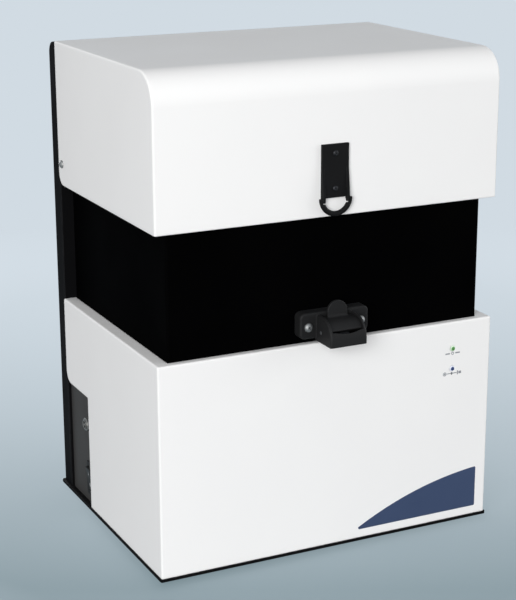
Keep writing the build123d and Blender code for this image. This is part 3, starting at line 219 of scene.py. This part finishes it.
COAT_GRAIN = coat_grain_group()
EDGE_WEAR_AND_HIGHLIGHT = edge_wear_and_highlight_group()
SETTLED_DUST = settled_dust_group()
DRAWN_LINES = drawn_lines_group()


# Finishes


DUST_TONE = (0.62, 0.61, 0.58)
EDGE_POLISH = 0.15
# How much lighter a metal's edges are painted: partly wear, partly a painted highlight
EDGE_SHINE = 1.15
METAL_REACH = 0.0004
LINE_DEPTH = 0.000004
LENS_CORE = 0.0014
LENS_RIM = 0.0019


def new_finish(name):
    """A material with its shader, and the coordinates that its patterns read."""
    material = bpy.data.materials.new(name)
    material.use_nodes = True
    tree = material.node_tree
    shader = tree.nodes["Principled BSDF"]
    place = tree.nodes.new("ShaderNodeTexCoord").outputs["Object"]
    return material, tree, shader, place


def raise_grain(tree, shader, height, depth, eased=None):
    """Gives the shader a relief of a depth in metres, over edges that are eased or left sharp."""
    bump = add_node(tree, "ShaderNodeBump", Height=height, Distance=depth, Strength=1.0)
    if eased:
        connect(tree, eased, bump.inputs["Normal"])
    connect(tree, bump.outputs["Normal"], shader.inputs["Normal"])


def coated(name, colour, cloud, edge, grain, depth, rough, gloss=0.5, reach=0.0008, dust=0.1):
    """Paint, anodising, rubber, foam or moulded plastic: a grainy coat with dust, lighter at its edges,
    partly as rubbed wear and partly as a painted edge highlight.

    Its tone clouds between colour and cloud, and edge is the colour of the worn and highlit edges. The
    grain's depth and the reach of those edges are in metres, and rough is the range of its roughness.
    """
    material, tree, shader, place = new_finish(name)
    coat = use_group(tree, COAT_GRAIN, Place=place, Grain_Scale=grain, Cloud_Scale=14.0)
    worn_and_highlit = use_group(tree, EDGE_WEAR_AND_HIGHLIGHT, Place=place, Reach=reach)
    dusty = use_group(tree, SETTLED_DUST, Place=place, Amount=dust)
    body = blend_colours(tree, coat["Cloud"], colour, cloud)
    # Painted highlight and wear: the edges blend towards the edge colour
    rubbed_and_highlit = blend_colours(tree, worn_and_highlit["Edge"], body, edge)
    tone = blend_colours(tree, dusty["Dust"], rubbed_and_highlit, DUST_TONE)
    connect(tree, tone, shader.inputs["Base Color"])
    matt = spread(tree, coat["Cloud"], 0, 1, *rough)
    polish = calculate(tree, "MULTIPLY", worn_and_highlit["Edge"], EDGE_POLISH)
    connect(tree, calculate(tree, "SUBTRACT", matt, polish), shader.inputs["Roughness"])
    shader.inputs["Specular IOR Level"].default_value = gloss
    raise_grain(tree, shader, coat["Grain"], depth, worn_and_highlit["Eased"])
    return material


def bare_metal(name, colour, dark, stretch, rough):
    """Bare, blued or plated metal: fine lines, drawn out where stretch is small, and edges painted
    brighter, partly as wear and partly as a painted highlight.
    """
    material, tree, shader, place = new_finish(name)
    turned = add_node(tree, "ShaderNodeMapping", Vector=place, Scale=stretch)
    lines = use_group(tree, DRAWN_LINES, Place=turned.outputs["Vector"], Line_Scale=900.0)
    worn_and_highlit = use_group(tree, EDGE_WEAR_AND_HIGHLIGHT, Place=place, Reach=METAL_REACH)
    body = blend_colours(tree, lines["Lines"], dark, colour)
    bright = tuple(min(1.0, EDGE_SHINE * c) for c in colour)
    # Painted highlight and wear: the edges lighter by EDGE_SHINE
    connect(tree, blend_colours(tree, worn_and_highlit["Edge"], body, bright), shader.inputs["Base Color"])
    connect(tree, spread(tree, lines["Lines"], 0, 1, *rough), shader.inputs["Roughness"])
    shader.inputs["Metallic"].default_value = 1.0
    raise_grain(tree, shader, lines["Lines"], LINE_DEPTH, worn_and_highlit["Eased"])
    return material


def lamp_plastic(name, core, rim, lamp):
    """The lens of a lamp on the front: a tinted core that glows a little, in a pale rim."""
    material, tree, shader, place = new_finish(name)
    coat = use_group(tree, COAT_GRAIN, Place=place, Grain_Scale=700.0, Cloud_Scale=260.0)
    flat = add_node(
        tree, "ShaderNodeMapping", Vector=place, Scale=(1.0, 0.0, 1.0),
        Location=(-lamp.x, 0.0, -lamp.z),
    )
    from_axis = tree.nodes.new("ShaderNodeVectorMath")
    from_axis.operation = "LENGTH"
    connect(tree, flat.outputs["Vector"], from_axis.inputs[0])
    outer = spread(tree, from_axis.outputs["Value"], low=LENS_CORE, high=LENS_RIM)
    tint = blend_colours(tree, outer, core, rim)
    deep = tuple(0.85 * c for c in core)
    clouded = spread(tree, coat["Cloud"], 0, 1, end=0.4)
    connect(tree, blend_colours(tree, clouded, tint, deep), shader.inputs["Base Color"])
    connect(tree, spread(tree, coat["Grain"], 0, 1, 0.3, 0.4), shader.inputs["Roughness"])
    shader.inputs["Specular IOR Level"].default_value = 0.2
    connect(tree, tint, shader.inputs["Emission Color"])
    shader.inputs["Emission Strength"].default_value = 0.08
    return material


def optical_glass(name):
    """Clear lens glass with a faint bluish coating."""
    material, tree, shader, place = new_finish(name)
    coat = use_group(tree, COAT_GRAIN, Place=place, Grain_Scale=300.0, Cloud_Scale=90.0)
    tone = blend_colours(tree, coat["Cloud"], (0.86, 0.9, 0.95), (0.8, 0.86, 0.95))
    connect(tree, tone, shader.inputs["Base Color"])
    shader.inputs["Transmission Weight"].default_value = 1.0
    shader.inputs["Roughness"].default_value = 0.02
    shader.inputs["IOR"].default_value = 1.52
    return material


def green_board(name):
    """A circuit board: green lacquer over tracks, which show as a grid of lighter lines."""
    material, tree, shader, place = new_finish(name)
    tracks = add_node(tree, "ShaderNodeTexBrick", Vector=place, Scale=240.0, Mortar_Size=0.012)
    tracks.inputs["Color1"].default_value = (0.02, 0.13, 0.05, 1.0)
    tracks.inputs["Color2"].default_value = (0.025, 0.16, 0.06, 1.0)
    tracks.inputs["Mortar"].default_value = (0.06, 0.3, 0.12, 1.0)
    coat = use_group(tree, COAT_GRAIN, Place=place, Grain_Scale=800.0, Cloud_Scale=60.0)
    clouded = spread(tree, coat["Cloud"], 0, 1, end=0.35)
    lacquer = blend_colours(tree, clouded, tracks.outputs["Color"], (0.03, 0.2, 0.08))
    connect(tree, lacquer, shader.inputs["Base Color"])
    connect(tree, spread(tree, coat["Grain"], 0, 1, 0.25, 0.4), shader.inputs["Roughness"])
    raise_grain(tree, shader, tracks.outputs["Fac"], depth=0.00003)
    return material


def printed_vinyl(name, colour, shade):
    """Printed film or ink: an even tone with a faint grain."""
    material, tree, shader, place = new_finish(name)
    coat = use_group(tree, COAT_GRAIN, Place=place, Grain_Scale=1500.0, Cloud_Scale=30.0)
    connect(tree, blend_colours(tree, coat["Cloud"], colour, shade), shader.inputs["Base Color"])
    connect(tree, spread(tree, coat["Grain"], 0, 1, 0.3, 0.42), shader.inputs["Roughness"])
    raise_grain(tree, shader, coat["Grain"], depth=0.000006)
    return material


# A coat's edge colour is partly rubbed wear and partly a painted highlight along its edges
COATS = {
    "white_paint": dict(
        colour=(0.9, 0.9, 0.895), cloud=(0.89, 0.89, 0.887), edge=(0.97, 0.97, 0.965),
        grain=1100.0, depth=0.00001, rough=(0.46, 0.54), gloss=0.25, reach=0.0015, dust=0.02,
    ),
    "black_paint": dict(
        colour=(0.0055, 0.0055, 0.006), cloud=(0.0045, 0.0045, 0.005), edge=(0.03, 0.03, 0.032),
        grain=1300.0, depth=0.00002, rough=(0.5, 0.6), gloss=0.012, dust=0.03,
    ),
    "hood_black": dict(
        colour=(0.0008, 0.0008, 0.0009), cloud=(0.0006, 0.0006, 0.0007), edge=(0.02, 0.02, 0.021),
        grain=1600.0, depth=0.00001, rough=(0.7, 0.8), gloss=0.004, reach=0.0014, dust=0.005,
    ),
    "panel_grey": dict(
        colour=(0.049, 0.0475, 0.0465), cloud=(0.045, 0.0435, 0.0425), edge=(0.1, 0.1, 0.102),
        grain=1200.0, depth=0.00002, rough=(0.5, 0.6), gloss=0.08, dust=0.04,
    ),
    "foot_rubber": dict(
        colour=(0.018, 0.018, 0.018), cloud=(0.014, 0.014, 0.014), edge=(0.04, 0.04, 0.04),
        grain=700.0, depth=0.00004, rough=(0.7, 0.85), gloss=0.25,
    ),
    "seal_foam": dict(
        colour=(0.012, 0.012, 0.012), cloud=(0.02, 0.02, 0.02), edge=(0.03, 0.03, 0.03),
        grain=1900.0, depth=0.00012, rough=(0.85, 0.95), gloss=0.1,
    ),
    "black_plastic": dict(
        colour=(0.0125, 0.0125, 0.0128), cloud=(0.01, 0.01, 0.0103), edge=(0.03, 0.03, 0.031),
        grain=1700.0, depth=0.00002, rough=(0.5, 0.62), gloss=0.12, reach=0.0012, dust=0.0,
    ),
    "rocker_plastic": dict(
        colour=(0.012, 0.012, 0.012), cloud=(0.01, 0.01, 0.01), edge=(0.03, 0.03, 0.03),
        grain=900.0, depth=0.000004, rough=(0.36, 0.44), gloss=0.12, dust=0.02,
    ),
    "black_steel": dict(
        colour=(0.0075, 0.0075, 0.008), cloud=(0.0095, 0.0095, 0.01), edge=(0.04, 0.04, 0.042),
        grain=1500.0, depth=0.00001, rough=(0.46, 0.58), gloss=0.04, reach=0.0004, dust=0.02,
    ),
    "black_anodised": dict(
        colour=(0.02, 0.02, 0.022), cloud=(0.016, 0.016, 0.018), edge=(0.09, 0.09, 0.095),
        grain=2200.0, depth=0.000008, rough=(0.36, 0.46),
    ),
    "white_coating": dict(
        colour=(0.93, 0.93, 0.92), cloud=(0.9, 0.9, 0.89), edge=(0.93, 0.93, 0.92),
        grain=1500.0, depth=0.00003, rough=(0.85, 0.95), gloss=0.2, dust=0.0,
    ),
    "motor_grey": dict(
        colour=(0.18, 0.18, 0.185), cloud=(0.15, 0.15, 0.155), edge=(0.32, 0.32, 0.33),
        grain=900.0, depth=0.00002, rough=(0.4, 0.5),
    ),
}
METALS = {
    "bright_steel": dict(
        colour=(0.3, 0.3, 0.295), dark=(0.22, 0.22, 0.215), stretch=(1.0, 1.0, 1.0), rough=(0.5, 0.6)
    ),
    "blued_steel": dict(
        colour=(0.036, 0.036, 0.038), dark=(0.025, 0.025, 0.027), stretch=(1.0, 1.0, 1.0),
        rough=(0.48, 0.58),
    ),
    "spring_steel": dict(
        colour=(0.03, 0.03, 0.032), dark=(0.02, 0.02, 0.022), stretch=(1.0, 0.1, 0.1),
        rough=(0.4, 0.52),
    ),
    "nickel": dict(
        colour=(0.28, 0.273, 0.26), dark=(0.21, 0.203, 0.19), stretch=(0.2, 1.0, 1.0),
        rough=(0.45, 0.55),
    ),
    "bare_aluminium": dict(
        colour=(0.66, 0.66, 0.67), dark=(0.52, 0.52, 0.53), stretch=(0.06, 1.0, 1.0),
        rough=(0.3, 0.45),
    ),
    "zinc_steel": dict(
        colour=(0.55, 0.56, 0.58), dark=(0.42, 0.43, 0.45), stretch=(1.0, 1.0, 0.3),
        rough=(0.3, 0.45),
    ),
}
FINISHES = {
    **{name: coated(name, **values) for name, values in COATS.items()},
    **{name: bare_metal(name, **values) for name, values in METALS.items()},
    "green_lens": lamp_plastic(
        "green_lens", core=(0.08, 0.24, 0.07), rim=(0.74, 0.92, 0.72), lamp=POWER_LAMP
    ),
    "blue_lens": lamp_plastic(
        "blue_lens", core=(0.035, 0.06, 0.16), rim=(0.8, 0.84, 0.94), lamp=MEASURE_LAMP
    ),
    "lens_glass": optical_glass("lens_glass"),
    "circuit_board": green_board("circuit_board"),
}
LABEL_BLUE = printed_vinyl("label_blue", (0.037, 0.059, 0.127), (0.033, 0.054, 0.119))
MARK_GREY = printed_vinyl("mark_grey", (0.25, 0.265, 0.285), (0.29, 0.305, 0.325))
MARK_WHITE = printed_vinyl("mark_white", (0.8, 0.8, 0.8), (0.76, 0.76, 0.76))


def finish_solids():
    """Gives each of the CAD's solids the finish that the record names for it."""
    for part in frame["record"]["subparts"]:
        solid = frame["nodes"][part["node"]]
        if not solid.material_slots:
            solid.data.materials.append(None)
        for material_slot in solid.material_slots:
            material_slot.material = FINISHES[part["material_slot"]]


finish_solids()


# Pieces


def make_mesh(name, bm):
    """A mesh with the shape of a bmesh, which is used up."""
    mesh = bpy.data.meshes.new(name)
    bm.to_mesh(mesh)
    bm.free()
    return mesh


def add_object(name, data):
    """A new object in the scene that holds a mesh, a lamp or a camera."""
    added = bpy.data.objects.new(name, data)
    bpy.context.scene.collection.objects.link(added)
    return added


def add_piece(name, bm, body, material):
    """Turns a bmesh into a piece that rides on a body."""
    bmesh.ops.recalc_face_normals(bm, faces=bm.faces)
    mesh = make_mesh(name, bm)
    mesh.materials.append(material)
    piece = add_object(name, mesh)
    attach(piece, body)
    return piece


def seat_matrix(place, direction):
    """The matrix that stands a shape, made along +Z on the origin, on a place along a direction."""
    turn = Vector(direction).to_track_quat("Z", "Y").to_matrix().to_4x4()
    return Matrix.Translation(place) @ turn


# A pan head's form, as shares of its height and of its radius
RIM_HEIGHT = 0.35
CROWN_ROUNDING = 0.3
RECESS_DEPTH = 0.62
FLAT_RADIUS = 0.55
RECESS_REACH = 0.52
RECESS_WIDTH = 0.2
RECESS_FOOT = 0.6

# Points this close count as one: when a head is turned, and where the recess cut leaves doubled points
SAME_PLACE = 1e-6
DOUBLED = 1e-7


def turned_head(radius, height, shank, length):
    """A pan-head screw along +Z, seated on the origin, still without its recess."""
    rim = RIM_HEIGHT * height
    outline = [
        (0, -length), (shank, -length), (shank, 0), (radius, 0), (radius, rim),
        (FLAT_RADIUS * radius, height), (0, height),
    ]
    bm = bmesh.new()
    corners = [bm.verts.new((x, 0, z)) for x, z in outline]
    edges = [bm.edges.new(pair) for pair in zip(corners, corners[1:])]
    bmesh.ops.spin(
        bm, geom=corners + edges, cent=(0, 0, 0), axis=(0, 0, 1), angle=FULL_TURN, steps=32,
        use_merge=True,
    )
    bmesh.ops.remove_doubles(bm, verts=bm.verts, dist=SAME_PLACE)
    crown = [
        e for e in bm.edges
        if all(abs(v.co.z - rim) < SAME_PLACE for v in e.verts)
        or all(abs(v.co.z - height) < SAME_PLACE and v.co.length > 1.01 * height for v in e.verts)
    ]
    bmesh.ops.bevel(
        bm, geom=crown, offset=CROWN_ROUNDING * height, affect="EDGES", segments=4, profile=0.5,
        material=-1,
    )
    bmesh.ops.recalc_face_normals(bm, faces=bm.faces)
    return make_mesh("pan_head", bm)


def recess_bar(radius, height, turn):
    """One of the two crossing bars that cut a head's recess, narrower at its bottom."""
    bm = bmesh.new()
    bmesh.ops.create_cube(bm, size=1.0)
    size = (RECESS_WIDTH * radius, 2 * RECESS_REACH * radius, 2 * RECESS_DEPTH * height)
    bmesh.ops.scale(bm, vec=size, verts=bm.verts)
    foot = [v for v in bm.verts if v.co.z < 0]
    bmesh.ops.scale(bm, vec=(RECESS_FOOT, RECESS_FOOT, 1.0), verts=foot)
    bmesh.ops.translate(bm, vec=(0, 0, height), verts=bm.verts)
    bmesh.ops.rotate(bm, verts=bm.verts, cent=(0, 0, 0), matrix=Matrix.Rotation(turn, 3, "Z"))
    return make_mesh("recess_bar", bm)


def pan_head_mesh(radius, height, shank, length):
    """A pan-head screw along +Z, seated on the origin, with a cross recess."""
    screw = add_object("pan_head", turned_head(radius, height, shank, length))
    cutters = []
    for turn in (0, math.pi / 2):
        cutter = add_object("recess_bar", recess_bar(radius, height, turn))
        cut = screw.modifiers.new("recess", "BOOLEAN")
        cut.operation = "DIFFERENCE"
        cut.object = cutter
        cutters.append(cutter)
    bpy.context.view_layer.update()
    seen = screw.evaluated_get(bpy.context.evaluated_depsgraph_get())
    mesh = bpy.data.meshes.new_from_object(seen)
    for used in (screw, *cutters):
        bpy.data.objects.remove(used)
    return mesh


def screw_seats(node, outward, radius, height):
    """The seats of a node's screws that face outward: one or two places along each side of its box."""
    low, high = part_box(node)
    places = []
    for axis, toward in enumerate(outward):
        ends = (low[axis] + radius, high[axis] - radius)
        if toward:
            face = high[axis] if toward > 0 else low[axis]
            places.append([face - toward * height])
        elif ends[1] - ends[0] < radius:
            places.append([sum(ends) / 2])
        else:
            places.append(ends)
    return [(place, outward) for place in itertools.product(*places)]


def place_screws(name, node, body, slot, outward, size, turns, finish=None):
    """Cross-recess screws in place of a node's plain ones, facing the outward directions.

    The size is the radius and the height of a head, and the radius and the length of its shank. Each
    screw is turned its own way.
    """
    radius, height = size[:2]
    seats = [seat for way in outward for seat in screw_seats(node, way, radius, height)]
    mesh = pan_head_mesh(*size)
    bm = bmesh.new()
    for (place, direction), turn in zip(seats, turns, strict=True):
        start = len(bm.verts)
        bm.from_mesh(mesh)
        bm.verts.ensure_lookup_table()
        matrix = seat_matrix(place, direction) @ Matrix.Rotation(turn, 4, "Z")
        bmesh.ops.transform(bm, matrix=matrix, verts=bm.verts[start:])
    bmesh.ops.remove_doubles(bm, verts=bm.verts, dist=DOUBLED)
    piece = add_piece(name, bm, body, FINISHES[finish or slot])
    piece.data.shade_smooth()
    piece.data.set_sharp_from_angle(angle=math.radians(35))
    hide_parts(node)


place_screws(
    "side_screws", "upper_cover_screws", "casing", "bright_steel", [LEFT, RIGHT],
    size=(0.0035, 0.0022, 0.002, 0.0036), turns=(0.3, 1.1),
)
place_screws(
    "catch_head_screws", "catch_screws", "sample_hood", "bright_steel", [FRONT],
    size=(0.00375, 0.0026, 0.002, 0.0145), turns=(0.5, 0.15),
)
place_screws(
    "plate_screws", "ring_plate_screws", "casing", "black_steel", [FRONT],
    size=(0.0024, 0.0013, 0.00125, 0.0052), turns=(0.4, 0.9), finish="blued_steel",
)
place_screws(
    "rear_screws", "rear_cover_screws", "casing", "black_steel", [BACK],
    size=(0.0028, 0.0016, 0.0015, 0.0175), turns=(0.2, 0.7, 1.2, 0.45),
)
place_screws(
    "flange_screws", "lower_cover_screws", "casing", "zinc_steel", [DOWN],
    size=(0.0028, 0.0016, 0.0015, 0.004), turns=(0.6, 0.1, 0.9, 0.35),
)
place_screws(
    "foot_fixings", "foot_screws", "casing", "zinc_steel", [DOWN],
    size=(0.0035, 0.0022, 0.002, 0.0044), turns=(0.2, 0.8, 0.5, 1.3),
)
place_screws(
    "stage_fixings", "stage_screws", "casing", "black_steel", [UP],
    size=(0.0035, 0.0022, 0.002, 0.0167), turns=(0.9, 0.3, 1.2, 0.6),
)


# Front label and printed marks


# The label's outline, with x from the lower cover's left edge and z from the bench
LABEL_TIP = (0.1766, 0.0163)
LABEL_ARC_CENTRE = (0.3157, -0.2410)
LABEL_ARC = math.radians(23.64)
LABEL_RIGHT_X = 0.2914
LABEL_TOE_X = 0.1776
LABEL_BOTTOM_Z = 0.0146
LABEL_CORNER = 0.0012
LABEL_BLUNT = 0.0006
LABEL_FILM = 0.00015


def on_front(x, z):
    """A place on the lower cover's front, with x from its left edge."""
    return (x - HALF_WIDTH, FRONT_Y, z)


def front_label():
    """The sail-shaped label: a low blunt tip at the left, an arc over it, and a straight right edge."""
    bm = bmesh.new()
    start = bm.verts.new(on_front(*LABEL_TIP))
    swept = bmesh.ops.spin(
        bm, geom=[start], cent=on_front(*LABEL_ARC_CENTRE), axis=(0, 1, 0), angle=LABEL_ARC, steps=40
    )
    end = next(g for g in swept["geom_last"] if isinstance(g, bmesh.types.BMVert))
    foot = bm.verts.new(on_front(LABEL_RIGHT_X, LABEL_BOTTOM_Z))
    toe = bm.verts.new(on_front(LABEL_TOE_X, LABEL_BOTTOM_Z))
    for corners in ((end, foot), (foot, toe), (toe, start)):
        bm.edges.new(corners)
    bmesh.ops.contextual_create(bm, geom=list(bm.edges))
    for corners, offset in (((end, foot), LABEL_CORNER), ((start, toe), LABEL_BLUNT)):
        bmesh.ops.bevel(
            bm, geom=corners, offset=offset, affect="VERTICES", segments=4, profile=0.5, material=-1
        )
    raised = bmesh.ops.extrude_face_region(bm, geom=list(bm.faces))
    top = [g for g in raised["geom"] if isinstance(g, bmesh.types.BMVert)]
    bmesh.ops.translate(bm, vec=(0, -LABEL_FILM, 0), verts=top)
    add_piece("front_label", bm, "casing", LABEL_BLUE)


# The ink's thickness, and how far its middle stands off the surface
INK = 0.00004

# How far a sign lies under its lamp, and the width of its lines
MARK_DROP = 0.0041
MARK_STROKE = 0.0006

# Power sign: its open ring, its upright, and the width and height of the lines beside it
POWER_RADIUS = 0.0014
POWER_SWEEP = math.radians(300)
POWER_START = math.radians(120)
POWER_UPRIGHT = 0.0015
POWER_UPRIGHT_Y = 0.001
POWER_LINE = (0.0044, 0.0012)
POWER_LINE_X = 0.0048

# Measuring sign: the source's ring and dot, then its bars, each as width, height and x
SOURCE_X = -0.0072
SOURCE_RADIUS = 0.0017
SOURCE_DOT = 0.0008
BEAM = (0.0096, 0.0007, -0.0004)
SAMPLE = (0.0012, 0.0026, -0.0004)
DETECTOR_WINDOW = (0.001, 0.0034, 0.0053)
DETECTOR = (0.0026, 0.0022, 0.0076)

# Rocker: the x and z of its two ends' middles, with x from the cover's side, and the ways they face
ROCKER_Y = 0.06445
ON_END = (0.00117, 0.03532)
ON_FACING = (-0.9806, 0, -0.196)
ON_BAR = (0.0005, 0.0026)
OFF_END = (0.00247, 0.0248)
OFF_FACING = (-0.999, 0, -0.0468)
OFF_RADIUS = 0.0014
OFF_STROKE = 0.0004


def add_ring(bm, plane, radius, width, sweep=FULL_TURN, start=0.0):
    """A flat printed ring, or part of one, on the plane of a matrix."""
    turned = plane @ Matrix.Rotation(start, 4, "Z")
    ends = [bm.verts.new(turned @ Vector((r, 0, 0))) for r in (radius - width, radius)]
    bmesh.ops.spin(
        bm, geom=[*ends, bm.edges.new(ends)], cent=plane.translation, axis=plane.col[2].xyz,
        angle=sweep, steps=28, use_merge=sweep == FULL_TURN,
    )


def add_dot(bm, plane, radius):
    """A flat printed dot on the plane of a matrix."""
    bmesh.ops.create_circle(bm, cap_ends=True, segments=28, radius=radius, matrix=plane)


def add_bar(bm, plane, width, height, x=0.0, y=0.0):
    """A flat printed bar on the plane of a matrix."""
    bar = bmesh.ops.create_grid(bm, x_segments=1, y_segments=1, size=0.5)["verts"]
    bmesh.ops.scale(bm, vec=(width, height, 1), verts=bar)
    bmesh.ops.translate(bm, vec=(x, y, 0), verts=bar)
    bmesh.ops.transform(bm, matrix=plane, verts=bar)


def mark_plane(place, across, outward):
    """The matrix of a printed mark's plane, from its right-hand direction and its outward normal."""
    right, normal = Vector(across).normalized(), Vector(outward).normalized()
    axes = Matrix((right, normal.cross(right), normal)).transposed()
    return Matrix.Translation(place) @ axes.to_4x4()


def finish_print(name, bm, body, material):
    """Gives flat printed shapes the thickness of ink."""
    piece = add_piece(name, bm, body, material)
    ink = piece.modifiers.new("ink", "SOLIDIFY")
    ink.thickness = INK
    ink.offset = 0.0


def under_lamp(lamp):
    """The plane of the sign printed under a lamp."""
    return mark_plane((lamp.x, FRONT_Y - INK, lamp.z - MARK_DROP), RIGHT, FRONT)


def power_mark():
    """The sign under the power lamp: a generic power sign between two lines."""
    plane = under_lamp(POWER_LAMP)
    bm = bmesh.new()
    add_ring(bm, plane, POWER_RADIUS, MARK_STROKE, POWER_SWEEP, POWER_START)
    add_bar(bm, plane, MARK_STROKE, POWER_UPRIGHT, y=POWER_UPRIGHT_Y)
    for x in (-POWER_LINE_X, POWER_LINE_X):
        add_bar(bm, plane, *POWER_LINE, x)
    finish_print("power_mark", bm, "casing", MARK_GREY)


def measure_mark():
    """The sign under the measuring lamp: a source, a sample and a detector along a beam."""
    plane = under_lamp(MEASURE_LAMP)
    source = plane @ Matrix.Translation((SOURCE_X, 0, 0))
    bm = bmesh.new()
    add_ring(bm, source, SOURCE_RADIUS, MARK_STROKE)
    add_dot(bm, source, SOURCE_DOT)
    for bar in (BEAM, SAMPLE, DETECTOR_WINDOW, DETECTOR):
        add_bar(bm, plane, *bar)
    finish_print("measure_mark", bm, "casing", MARK_GREY)


def rocker_plane(end, facing):
    """The plane of a mark on one end of the rocker."""
    x, z = end
    return mark_plane((x - HALF_WIDTH - INK, ROCKER_Y, z), FRONT, facing)


def rocker_marks():
    """The bar and the ring that tell the rocker's two ends apart."""
    bm = bmesh.new()
    add_bar(bm, rocker_plane(ON_END, ON_FACING), *ON_BAR)
    add_ring(bm, rocker_plane(OFF_END, OFF_FACING), OFF_RADIUS, OFF_STROKE)
    finish_print("rocker_marks", bm, "power_rocker", MARK_WHITE)


front_label()
power_mark()
measure_mark()
rocker_marks()


# Floor, light and camera


BACKDROP = (0.638, 0.708, 0.768)
EVEN_LIGHT = (0.3, 0.3, 0.305)

# The floor takes light and shadow near the object, and fades to the plain backdrop further off
NEAR_FLOOR = (0.15, 0.165, 0.18)
FAR_FLOOR = (0.0, 0.0, 0.0)
FLOOR_RADIUS = 14.0
FADE_START = 0.25
FADE_END = 1.1

# The floor's glow is painted darker in front, as shade where the light falls off, and pales into the
# backdrop's tone, fast at first, between two places along the camera's heading, in metres from the
# object's middle
FLOOR_FRONT_PAINTED_SHADE = (0.16, 0.225, 0.25)
PALING_START = -0.16
PALING_END = 1.3
PALING_POWER = 2.4


def seen_directly(tree):
    """One where the camera, a reflection or a lens looks, and nothing for the light that spreads."""
    path = tree.nodes.new("ShaderNodeLightPath")
    mirrored = calculate(tree, "MAXIMUM", path.outputs["Is Camera Ray"], path.outputs["Is Glossy Ray"])
    return calculate(tree, "MAXIMUM", mirrored, path.outputs["Is Transmission Ray"])


def floor_glow_with_painted_shade(tree, place, far_away):
    """The floor's glow, which only the camera, a reflection or a lens sees, painted darker in front as
    shade.
    """
    away = add_node(tree, "ShaderNodeMapping", Vector=place)
    away.inputs["Rotation"].default_value = (0, 0, CAMERA_HEADING)
    split = add_node(tree, "ShaderNodeSeparateXYZ", Vector=away.outputs["Vector"])
    ahead = spread(tree, split.outputs["Y"], PALING_START, PALING_END)
    remaining = calculate(tree, "SUBTRACT", 1.0, calculate(tree, "MAXIMUM", ahead, far_away))
    paled = calculate(tree, "SUBTRACT", 1.0, calculate(tree, "POWER", remaining, PALING_POWER))
    # Painted shade: the glow's tone darkens from the backdrop's towards the front
    tone = blend_colours(tree, paled, FLOOR_FRONT_PAINTED_SHADE, BACKDROP)
    glow = add_node(tree, "ShaderNodeEmission", Color=tone, Strength=seen_directly(tree))
    return glow.outputs["Emission"]


def studio_floor():
    """A plain floor that takes the object's shadow, and whose glow, painted darker in front as shade,
    pales into the backdrop with distance.
    """
    material, tree, shader, place = new_finish("floor")
    far = tree.nodes.new("ShaderNodeVectorMath")
    far.operation = "LENGTH"
    connect(tree, place, far.inputs[0])
    far_away = spread(tree, far.outputs["Value"], FADE_START, FADE_END)
    tone = blend_colours(tree, far_away, NEAR_FLOOR, FAR_FLOOR)
    connect(tree, tone, shader.inputs["Base Color"])
    shader.inputs["Roughness"].default_value = 0.9
    shader.inputs["Specular IOR Level"].default_value = 0.0
    together = tree.nodes.new("ShaderNodeAddShader")
    connect(tree, shader.outputs["BSDF"], together.inputs[0])
    connect(tree, floor_glow_with_painted_shade(tree, place, far_away), together.inputs[1])
    output = tree.nodes["Material Output"]
    connect(tree, together.outputs["Shader"], output.inputs["Surface"])
    bm = bmesh.new()
    bmesh.ops.create_circle(bm, cap_ends=True, segments=96, radius=FLOOR_RADIUS)
    mesh = make_mesh("floor", bm)
    mesh.materials.append(material)
    add_object("floor", mesh)


def softbox(name, place, aim, size, power):
    """A square area lamp that points at a place."""
    lamp = bpy.data.lights.new(name, "AREA")
    lamp.shape = "SQUARE"
    lamp.size = size
    lamp.energy = power
    holder = add_object(name, lamp)
    holder.location = place
    holder.rotation_euler = (Vector(aim) - Vector(place)).to_track_quat("-Z", "Y").to_euler()


def studio_world():
    """Even light from all round, and a pale backdrop beyond the floor."""
    world = bpy.data.worlds.new("studio")
    bpy.context.scene.world = world
    world.use_nodes = True
    tree = world.node_tree
    background = tree.nodes["Background"]
    colour = blend_colours(tree, seen_directly(tree), EVEN_LIGHT, BACKDROP)
    connect(tree, colour, background.inputs["Color"])


def photo_camera():
    """The camera, placed and turned as the photograph's was."""
    data = bpy.data.cameras.new("photo_camera")
    data.lens = CAMERA_LENS_MM
    camera = add_object("photo_camera", data)
    turn = (
        Matrix.Rotation(-CAMERA_HEADING, 4, "Z")
        @ Matrix.Rotation(math.pi / 2 - CAMERA_DROP, 4, "X")
        @ Matrix.Rotation(CAMERA_ROLL, 4, "Z")
    )
    camera.matrix_world = Matrix.Translation(CAMERA_PLACE) @ turn
    bpy.context.scene.camera = camera


studio_floor()
studio_world()
softbox("key", place=(-1.72, -2.05, 0.9), aim=(0, 0, 0.2), size=1.6, power=75.0)
softbox("fill", place=(2.3, -0.8, 0.6), aim=(0, 0, 0.2), size=1.4, power=26.0)
softbox("rim", place=(-0.82, 2.15, 1.35), aim=(-0.15, 0, 0.35), size=0.3, power=4.0)
softbox("back", place=(0, 2.5, 0.2), aim=(0, 0, 0.2), size=0.3, power=45.0)
photo_camera()
bpy.context.scene.view_settings.view_transform = "Standard"
